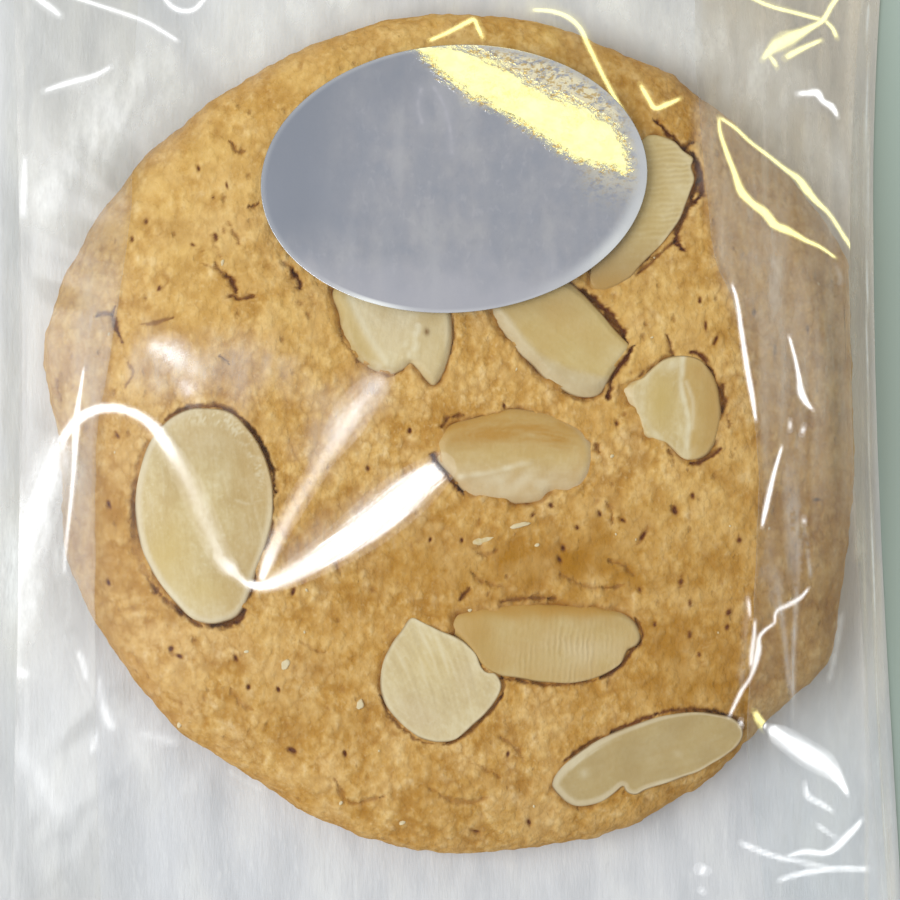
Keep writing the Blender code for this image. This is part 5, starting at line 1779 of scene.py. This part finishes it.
def build_gusset(side):
    """Two layers of film between the front film and the biscuit, folded inwards."""
    line = spline(place_height(PLEATS[side]), 6)
    order = np.argsort(line[:, 1])
    ys = np.linspace(-INNER - 2.0, INNER + 2.0, 300)
    pleat = np.interp(ys, line[order, 1], line[order, 0])
    pleat = pleat + 0.10 * lattice_noise(ys, ys * 0, 3.0, 109)
    top = crease_x(side, np.clip(ys, -INNER, INNER))
    foot = side_x(side, ys)
    # more milky in its upper half on the right, evenly on the left
    base = 0.034 + 0.160 * smooth(ys, -16, 8) + 0.03 * smooth(ys, 14, 40) if side > 0 else 0.010 + 0.046 * smooth(ys, -32, -12)
    base = base * (1 - 0.8 * smooth(ys, 46, 57))
    columns = []
    haze_and_glare = []

    def streaks(x, seed):
        return np.clip(layered(x, ys * 0.07, 1.5, seed, 3), -0.7, 1.4)

    upper, bend, lower = 40, 5, 60
    for k in range(upper + 1):
        s = k / upper
        x = top + (pleat - top) * s
        z = cover(x, ys) - 0.05 - 0.20 * smooth(s, 0.0, 0.1) + slack(x, ys) * 0.8
        z = z - 0.05 * lattice_noise(x, ys * 0.3, 2.0, 101)
        columns.append((x, z))
        haze_and_glare.append(base * (1 + 0.8 * streaks(x, 141)) * smooth(1 - s, 0.0, 0.08) + 0.05 * np.exp(-((s - 1) / 0.03) ** 2) + 0.08 * np.exp(-(s / 0.02) ** 2))
    for k in range(1, bend):
        t = k / bend
        x = pleat - side * 0.14 * math.sin(math.pi * t)
        z = cover(x, ys) - 0.25 - 0.16 * t + slack(x, ys) * 0.8
        columns.append((x, z))
        haze_and_glare.append(0.07 + 0 * ys)
    for k in range(lower + 1):
        s = k / lower
        x = pleat + (foot - pleat) * s
        r = np.hypot(x - BX, ys - BY) / rim_r(np.arctan2(ys - BY, x - BX))
        off = smooth(r, 1.02, 1.25)
        z = cover(x, ys) - 0.40 + slack(x, ys) * 0.6
        z = z + 0.10 * off * lattice_noise(x, ys * 0.35, 1.6, 103)
        z = np.maximum(z * (1 - smooth(s, 0.97, 1.0)) + 0.42 * smooth(s, 0.97, 1.0), 0.42)
        columns.append((x, z))
        # on the right the side lines, painted highlights; on the left a streaky whiter film and a broad patch of
        # painted glare
        extra = side_lines(x, ys) if side > 0 else np.maximum(0.16 * np.clip(lattice_noise(x, ys * 0.1, 1.2, 108), 0, 1), 0.70 * blob(x, ys, 6, 575, 24, 80))
        haze_and_glare.append(np.maximum(base * (0.8 + 0.8 * streaks(x, 143)) * smooth(s, 0.0, 0.06), extra))
    z = np.stack([c[1] for c in columns], 1)
    x = np.stack([c[0] for c in columns], 1)
    y = np.repeat(ys[:, None], x.shape[1], 1)
    # the ends go flat into the welded bands
    flat = smooth(np.abs(y), INNER - 1.5, INNER + 0.3)
    level = np.linspace(0.62, 0.45, x.shape[1])[None, :]
    z = z * (1 - flat) + level * flat
    rows, cols = x.shape
    ids = np.arange(rows * cols).reshape(rows, cols)
    quads = np.stack([ids[:-1, :-1], ids[:-1, 1:], ids[1:, 1:], ids[1:, :-1]], -1).reshape(-1, 4)
    if side < 0:
        quads = quads[:, ::-1]
    co = np.stack([x.ravel(), y.ravel(), z.ravel()], -1)
    data = {"haze_and_glare": np.clip(np.stack(haze_and_glare, 1), 0, 1).ravel(), "sheen": np.zeros(len(co)), "clearer": np.maximum(smooth(-y.ravel(), 14, 34), smooth(y.ravel(), 46, 57))}
    return mixed_object("gusset_film_right" if side > 0 else "gusset_film_left", co, [quads], data)


for side in (1, -1):
    ob = build_gusset(side)
    ob.data.materials.append(side_wraps[side])
    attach(ob, "root")


# ---- the paper back ----------------------------------------------------------------------
def build_back():
    nx, ny = 150, 200
    u, v = np.meshgrid(np.linspace(0, 1, nx + 1), np.linspace(0, 1, ny + 1), indexing="ij")
    y = (v - 0.5) * BAG_LENGTH
    x = side_x(-1, y) + u * (side_x(1, y) - side_x(-1, y))
    inset = np.minimum(np.minimum(u, 1 - u) * 94, np.minimum(v, 1 - v) * 126)
    # long soft folds that run off the biscuit, and crumples
    a = np.arctan2(y - BY, x - BX)
    r = np.hypot(x - BX, y - BY)
    z = 0.30 + 0.16 * layered(x, y * 0.30, 7.0, 111, 3) + 0.10 * lattice_noise(a * 22, r * 0.12, 2.2, 113)
    z = z + 0.05 * np.abs(lattice_noise(x + 0.4 * y, y * 0.5, 3.0, 115))
    z = np.clip(z, 0.12, 0.75) * smooth(inset, 0, 1.2) + 0.22 * (1 - smooth(inset, 0, 1.2))
    rows, cols = x.shape
    ids = np.arange(rows * cols).reshape(rows, cols)
    quads = np.stack([ids[:-1, :-1], ids[1:, :-1], ids[1:, 1:], ids[:-1, 1:]], -1).reshape(-1, 4)
    co = np.stack([x.ravel(), y.ravel(), z.ravel()], -1)
    rim = np.concatenate([ids[:, 0], ids[-1, 1:], ids[-2::-1, -1], ids[0, -2:0:-1]])
    low = co[rim].copy()
    low[:, 2] = 0.0
    base = len(co) + np.arange(len(rim))
    skirt = np.stack([rim, base, np.roll(base, -1), np.roll(rim, -1)], -1)
    mid = len(co) + len(rim)
    fan = np.stack([np.roll(base, -1), base, np.full(len(base), mid)], -1)
    co = np.concatenate([co, low, [[0, 0, 0.0]]])
    return mixed_object("back_panel", co, [quads, skirt, fan])


def paper_material():
    m, t, out = material("soft_white_back")
    n = Tree(t)
    fibre = n.noise(n.coords((0.5, 2.6, 1.0)), 3.0, 0.65)
    cloud = n.noise(n.coords((5.0, 14.0, 8.0)), 3.0, 0.55)
    base = n.ramp(cloud, ((0.30, (0.60, 0.61, 0.627)), (0.50, (0.697, 0.702, 0.715)), (0.70, (0.775, 0.775, 0.766))))
    base = n.mix(n.ramp(fibre, ((0.56, 0.0), (0.74, 0.35))), base, (0.86, 0.86, 0.85))
    base = n.mix(n.ramp(fibre, ((0.28, 0.35), (0.44, 0.0))), base, (0.60, 0.60, 0.60))
    p = n.node("ShaderNodeBsdfPrincipled", Base_Color=base, Roughness=0.6, Normal=n.bump(n.math("MULTIPLY_ADD", fibre, 0.5, cloud), 0.25, 0.6))
    t.links.new(p.outputs[0], out.inputs[0])
    return m


back = build_back()
back.data.materials.append(paper_material())
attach(back, "root")


# ---- the sticker -------------------------------------------------------------------------
DENTS = (
    (((414, 44, 4), (430, 50, 11), (450, 59, 19), (486, 78, 24), (522, 100, 22), (557, 119, 26), (590, 137, 28), (612, 153, 20), (624, 167, 9)), 1.0),
)


def build_label():
    around, rings = 420, 84
    c, s = math.cos(math.radians(LABEL_TILT)), math.sin(math.radians(LABEL_TILT))
    t = np.linspace(0, 2 * math.pi, around, endpoint=False)
    co, edge = [], []
    parts = []

    def place(share, up):
        ex, ey = LABEL_HALF[0] * share * np.cos(t), LABEL_HALF[1] * share * np.sin(t)
        x, y = LABEL_X + ex * c - ey * s, LABEL_Y + ex * s + ey * c
        return x, y, up

    for k in range(1, rings + 1):
        share = (k / rings) ** 0.85
        x, y, _ = place(share, 0)
        crease = 0.018 * lattice_noise(x, y, 5.0, 121) + 0.012 * lattice_noise(x + y, (x - y) * 0.3, 2.4, 123)
        z = cover(x, y) + 0.44 + crease - 0.06 * smooth(np.full(around, share), 0.965, 1.0)
        co.append(np.stack([x, y, z], -1))
        edge.append(np.full(around, share))
    for share, drop in ((1.004, 0.05), (1.003, 0.12)):
        x, y, _ = place(share, 0)
        co.append(np.stack([x, y, cover(x, y) + 0.38 - drop], -1))
        edge.append(np.full(around, 1.0))
    for share in (0.9, 0.5):
        x, y, _ = place(share, 0)
        co.append(np.stack([x, y, cover(x, y) + 0.28], -1))
        edge.append(np.full(around, share))
    total = rings + 4
    for k in range(total - 1):
        a, b = k * around + np.arange(around), (k + 1) * around + np.arange(around)
        parts.append(np.stack([a, b, np.roll(b, -1), np.roll(a, -1)], -1))
    co = np.concatenate(co)
    top, low = len(co), len(co) + 1
    first, last = np.arange(around), (total - 1) * around + np.arange(around)
    parts.append(np.stack([first, np.roll(first, -1), np.full(around, top)], -1))
    parts.append(np.stack([np.roll(last, -1), last, np.full(around, low)], -1))
    zc = float(cover(np.array([LABEL_X]), np.array([LABEL_Y]))[0])
    co = np.concatenate([co, [[LABEL_X, LABEL_Y, zc + 0.44], [LABEL_X, LABEL_Y, zc + 0.28]]])
    # one long dent across its upper right faces the lamp
    e = 0.08
    x, y = co[:, 0], co[:, 1]
    gx = (cover(x + e, y) - cover(x - e, y)) / (2 * e)
    gy = (cover(x, y + e) - cover(x, y - e)) / (2 * e)
    up = np.concatenate([np.full(rings * around, 1.0), np.zeros(len(co) - rings * around)])
    up[-2] = 1.0
    normal = np.stack([-gx, -gy, np.ones_like(gx)], -1)
    normal[:, 0] -= 0.02 * lattice_noise(x, y * 0.4, 4.0, 125)
    normal[:, 1] -= 0.015 * lattice_noise(x, y, 6.0, 127)
    normal /= np.linalg.norm(normal, axis=1)[:, None]
    normal[up < 0.5] *= -1
    side_ring = slice(rings * around, (rings + 2) * around)
    outwards = np.stack([x - LABEL_X, y - LABEL_Y, np.zeros(len(co))], -1)
    normal[side_ring] = outwards[side_ring] / np.linalg.norm(outwards[side_ring], axis=1)[:, None]
    band = np.zeros(len(co))
    for points, share in DENTS:
        line = spline(np.concatenate([pxs([p[:2] for p in points], 12.2), np.array([[p[2] * 0.1] for p in points])], -1), 5)
        k, d, w, along, signed = along_width(x, y, line, 3.0)
        u = (0.876 * x[k] - 0.482 * y[k]) / 1.7
        v = (0.482 * x[k] + 0.876 * y[k]) / 0.60
        torn = 0.80 * layered(u, v, 1.0, 129, 3, 0.62)
        band[k] = np.maximum(band[k], share * (1 - smooth(d + 0.5 * torn, w - 0.80, w + 0.62)))
    band *= up
    # a white line of paper along the lower left of its edge, and a pale margin on the right
    way = np.degrees(np.arctan2(y - LABEL_Y, x - LABEL_X))
    share = np.concatenate(edge + [[0.0], [0.0]])
    lower_left = np.exp(-((way + 122) / 17) ** 2)
    right = np.exp(-((way + 14) / 30) ** 2)
    rim = np.maximum.reduce([0.95 * smooth(share, 0.972, 0.984) * lower_left, 0.70 * smooth(share, 0.90, 0.985) * right,
                             0.22 * smooth(share, 0.972, 0.99)])
    rim = rim * np.clip(0.88 + 0.3 * lattice_noise(x, y, 4.5, 135), 0.3, 1.1)
    # silver flecks towards the top right, beside the gleam: painted glints of the crinkled foil
    fleck = (1 - smooth(np.abs(way - 50), 26, 40)) * smooth(share, 0.50, 0.66) * (1 - 0.6 * smooth(share, 0.94, 0.99))
    fleck = np.maximum(fleck, 0.75 * np.exp(-((way - 8) / 12) ** 2) * smooth(share, 0.58, 0.80) * (1 - smooth(share, 0.93, 0.98)))
    fleck = fleck * (1 - band)
    # painted shade towards the left and the top, painted light below, and two pale scratches
    across, up_it = (x - LABEL_X) / LABEL_HALF[0], (y - LABEL_Y) / LABEL_HALF[1]
    shade = 0.95 * smooth(-across, 0.30, 0.80) * (1 - smooth(-up_it, 0.25, 0.75))
    shade = np.maximum(shade, 0.55 * smooth(up_it, 0.30, 0.75) * smooth(-across, -0.10, 0.35))
    light = 0.75 * smooth(-up_it + 0.12 * lattice_noise(x, y, 3.0, 139), 0.48, 0.92)
    for points in (((434, 86), (444, 104), (450, 128), (452, 152)), ((421, 88), (418, 104), (422, 122))):
        d, _, _ = line_distance(x, y, spline(pxs(points, 12.2), 4))
        light = np.maximum(light, 0.75 * np.exp(-(d / 0.16) ** 2) * np.clip(0.7 + 0.8 * lattice_noise(x, y, 0.8, 145), 0, 1) + 0.30 * np.exp(-(d / 0.7) ** 2))
    h = facing(x, y, co[:, 2], "lamp")
    k = band > 0.001
    normal[k] = normal[k] * (1 - band[k, None]) + h[k] * band[k, None]
    normal[k] /= np.linalg.norm(normal[k], axis=1)[:, None]
    # worn places, and painted glints along both edges of the gleam
    wear_and_glint = 4 * band * (1 - band) + 0.35 * band * np.clip(0.5 + lattice_noise(x, y, 2.0, 137), 0, 1) + 0.16 * np.exp(-((way - 50) / 16) ** 2) * smooth(share, 0.6, 0.9) * (1 - smooth(share, 0.9, 0.97))
    return mixed_object("sticker", co, parts, {"rim": np.clip(rim, 0, 1), "band": band, "wear_and_glint": np.clip(wear_and_glint, 0, 1), "fleck": np.clip(fleck, 0, 1),
                                               "shade": shade * up, "light": np.clip(light, 0, 1) * up}, normal)


def label_material():
    m, t, out = material("satin_silver")
    n = Tree(t)
    grain = n.noise(n.coords((0.22, 0.22, 0.22)), 2.0, 0.6)
    brushed = n.noise(n.coords((3.4, 16.0, 6.0)), 2.0, 0.5)
    cloud = n.noise(n.coords((2.6, 3.4, 3.0)), 3.0, 0.6)
    wrinkle = n.noise(n.warp(n.coords((0.8, 1.3, 1.0)), 0.9, 0.8), 3.0, 0.6)
    flecks = n.noise(n.coords((0.26, 0.34, 0.3)), 2.0, 0.65)
    base = n.ramp(cloud, ((0.32, (0.49, 0.50, 0.55)), (0.5, (0.545, 0.54, 0.575)), (0.68, (0.60, 0.59, 0.61))))
    base = n.mix(n.ramp(brushed, ((0.34, 0.50), (0.50, 0.0))), base, (0.45, 0.47, 0.53))
    base = n.mix(n.ramp(brushed, ((0.52, 0.0), (0.70, 0.50))), base, (0.70, 0.69, 0.71))
    base = n.mix(n.ramp(wrinkle, ((0.30, 0.25), (0.44, 0.0))), base, (0.43, 0.44, 0.48))
    base = n.mix(n.ramp(wrinkle, ((0.56, 0.0), (0.72, 0.30))), base, (0.72, 0.70, 0.73))
    # in the gleam the foil is painted a paler yellow: a painted highlight of the lamp, on top of its turned normals
    bright = n.mix(n.ramp(n.noise(n.warp(n.coords((1.5, 1.1, 1.0)), 0.8, 0.9), 3.0, 0.65), ((0.38, 0.0), (0.62, 1.0))), (0.60, 0.585, 0.48), (0.72, 0.70, 0.58))
    base = n.mix(n.attr("shade"), base, (0.385, 0.405, 0.465))
    base = n.mix(n.attr("light"), base, (0.665, 0.65, 0.70))
    base = n.mix(n.attr("band"), base, bright)
    # the silver flecks: painted glints, bright and less metallic
    silver = n.math("MULTIPLY", n.ramp(n.noise(n.coords((0.95, 0.60, 0.7)), 3.0, 0.75), ((0.38, 0.0), (0.52, 1.0))), n.attr("fleck"))
    base = n.mix(silver, base, (0.93, 0.83, 0.58))
    # gold-brown specks in the worn places, and as painted glints along the torn edge of the gleam and among the silver
    # flecks
    gold = n.math("MULTIPLY", n.ramp(n.noise(n.coords((0.50, 0.38, 0.4)), 2.0, 0.7), ((0.53, 0.0), (0.61, 0.85))), n.math("MAXIMUM", n.attr("fleck"), n.math("MULTIPLY", n.attr("wear_and_glint"), 0.9)))
    base = n.mix(gold, base, (0.62, 0.42, 0.15))
    base = n.mix(n.attr("rim"), base, (0.90, 0.91, 0.90))
    foil = n.math("SUBTRACT", 1.0, n.math("MULTIPLY", n.math("MAXIMUM", n.attr("rim"), n.math("MULTIPLY", silver, 0.6)), 0.85), clamp=True)
    height = n.math("MULTIPLY_ADD", grain, 0.008, n.math("MULTIPLY", brushed, 0.008))
    height = n.math("MULTIPLY_ADD", wrinkle, 0.008, height)
    height = n.math("MULTIPLY_ADD", n.math("MULTIPLY", flecks, n.attr("wear_and_glint")), 0.11, height)
    p = n.node("ShaderNodeBsdfPrincipled", Base_Color=base, Metallic=foil, Roughness=n.math("MULTIPLY_ADD", n.attr("band"), 0.18, 0.22), Normal=n.bump(height, 1.0, 1.0))
    t.links.new(p.outputs[0], out.inputs[0])
    return m


sticker = build_label()
sticker.data.materials.append(label_material())
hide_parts("label")
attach(sticker, "root")


# ---- the stage ---------------------------------------------------------------------------
def build_floor():
    ob = mesh_object("floor", [(-700, -700, -0.02), (700, -700, -0.02), (700, 700, -0.02), (-700, 700, -0.02)], [(0, 1, 2, 3)])
    m, t, out = material("pale_table")
    n = Tree(t)
    soft = n.noise(n.coords((60.0, 60.0, 60.0)), 2.0, 0.5)
    col = n.ramp(soft, ((0.35, (0.380, 0.455, 0.405)), (0.65, (0.410, 0.490, 0.440))))
    p = n.node("ShaderNodeBsdfPrincipled", Base_Color=col, Roughness=0.85)
    p.inputs["Specular IOR Level"].default_value = 0.1
    t.links.new(p.outputs[0], out.inputs[0])
    ob.data.materials.append(m)
    return ob


build_floor()

scene = bpy.context.scene
world = bpy.data.worlds.new("soft_room")
world.use_nodes = True
world.node_tree.nodes["Background"].inputs[0].default_value = (0.95, 0.98, 1.0, 1.0)
world.node_tree.nodes["Background"].inputs[1].default_value = WORLD
scene.world = world
scene.view_settings.view_transform = "Standard"
scene.view_settings.look = "None"
scene.cycles.caustics_reflective = False
scene.cycles.caustics_refractive = False


def lamp(name, place, size, radiance, colour, target=(0.0, 0.0, 0.01)):
    """A rectangle of light of that radiance, facing the target."""
    data = bpy.data.lights.new(name, "AREA")
    data.shape = "RECTANGLE"
    data.size, data.size_y = size
    data.energy = radiance * math.pi * size[0] * size[1]
    data.color = colour
    ob = bpy.data.objects.new(name, data)
    scene.collection.objects.link(ob)
    ob.location = place
    ob.rotation_mode = "QUATERNION"
    ob.rotation_quaternion = (Vector(target) - Vector(place)).to_track_quat("-Z", "Y")
    return ob


lamp("window", KEY_AT, KEY_SIZE, KEY_RADIANCE, KEY_COLOUR)
lamp("warm_lamp", WARM_AT, WARM_SIZE, WARM_RADIANCE, WARM_COLOUR)

cam_data = bpy.data.cameras.new("camera")
cam_data.sensor_fit = "HORIZONTAL"
cam_data.sensor_width = 36.0
cam_data.lens = 18.0 / (45.0 / 420.0)
cam_data.clip_start, cam_data.clip_end = 0.01, 10.0
camera = bpy.data.objects.new("camera", cam_data)
scene.collection.objects.link(camera)
camera.location = (0.0, 0.0, EYE * MM)
camera.rotation_euler = (0.0, 0.0, 0.0)
scene.camera = camera

bpy.context.view_layer.update()
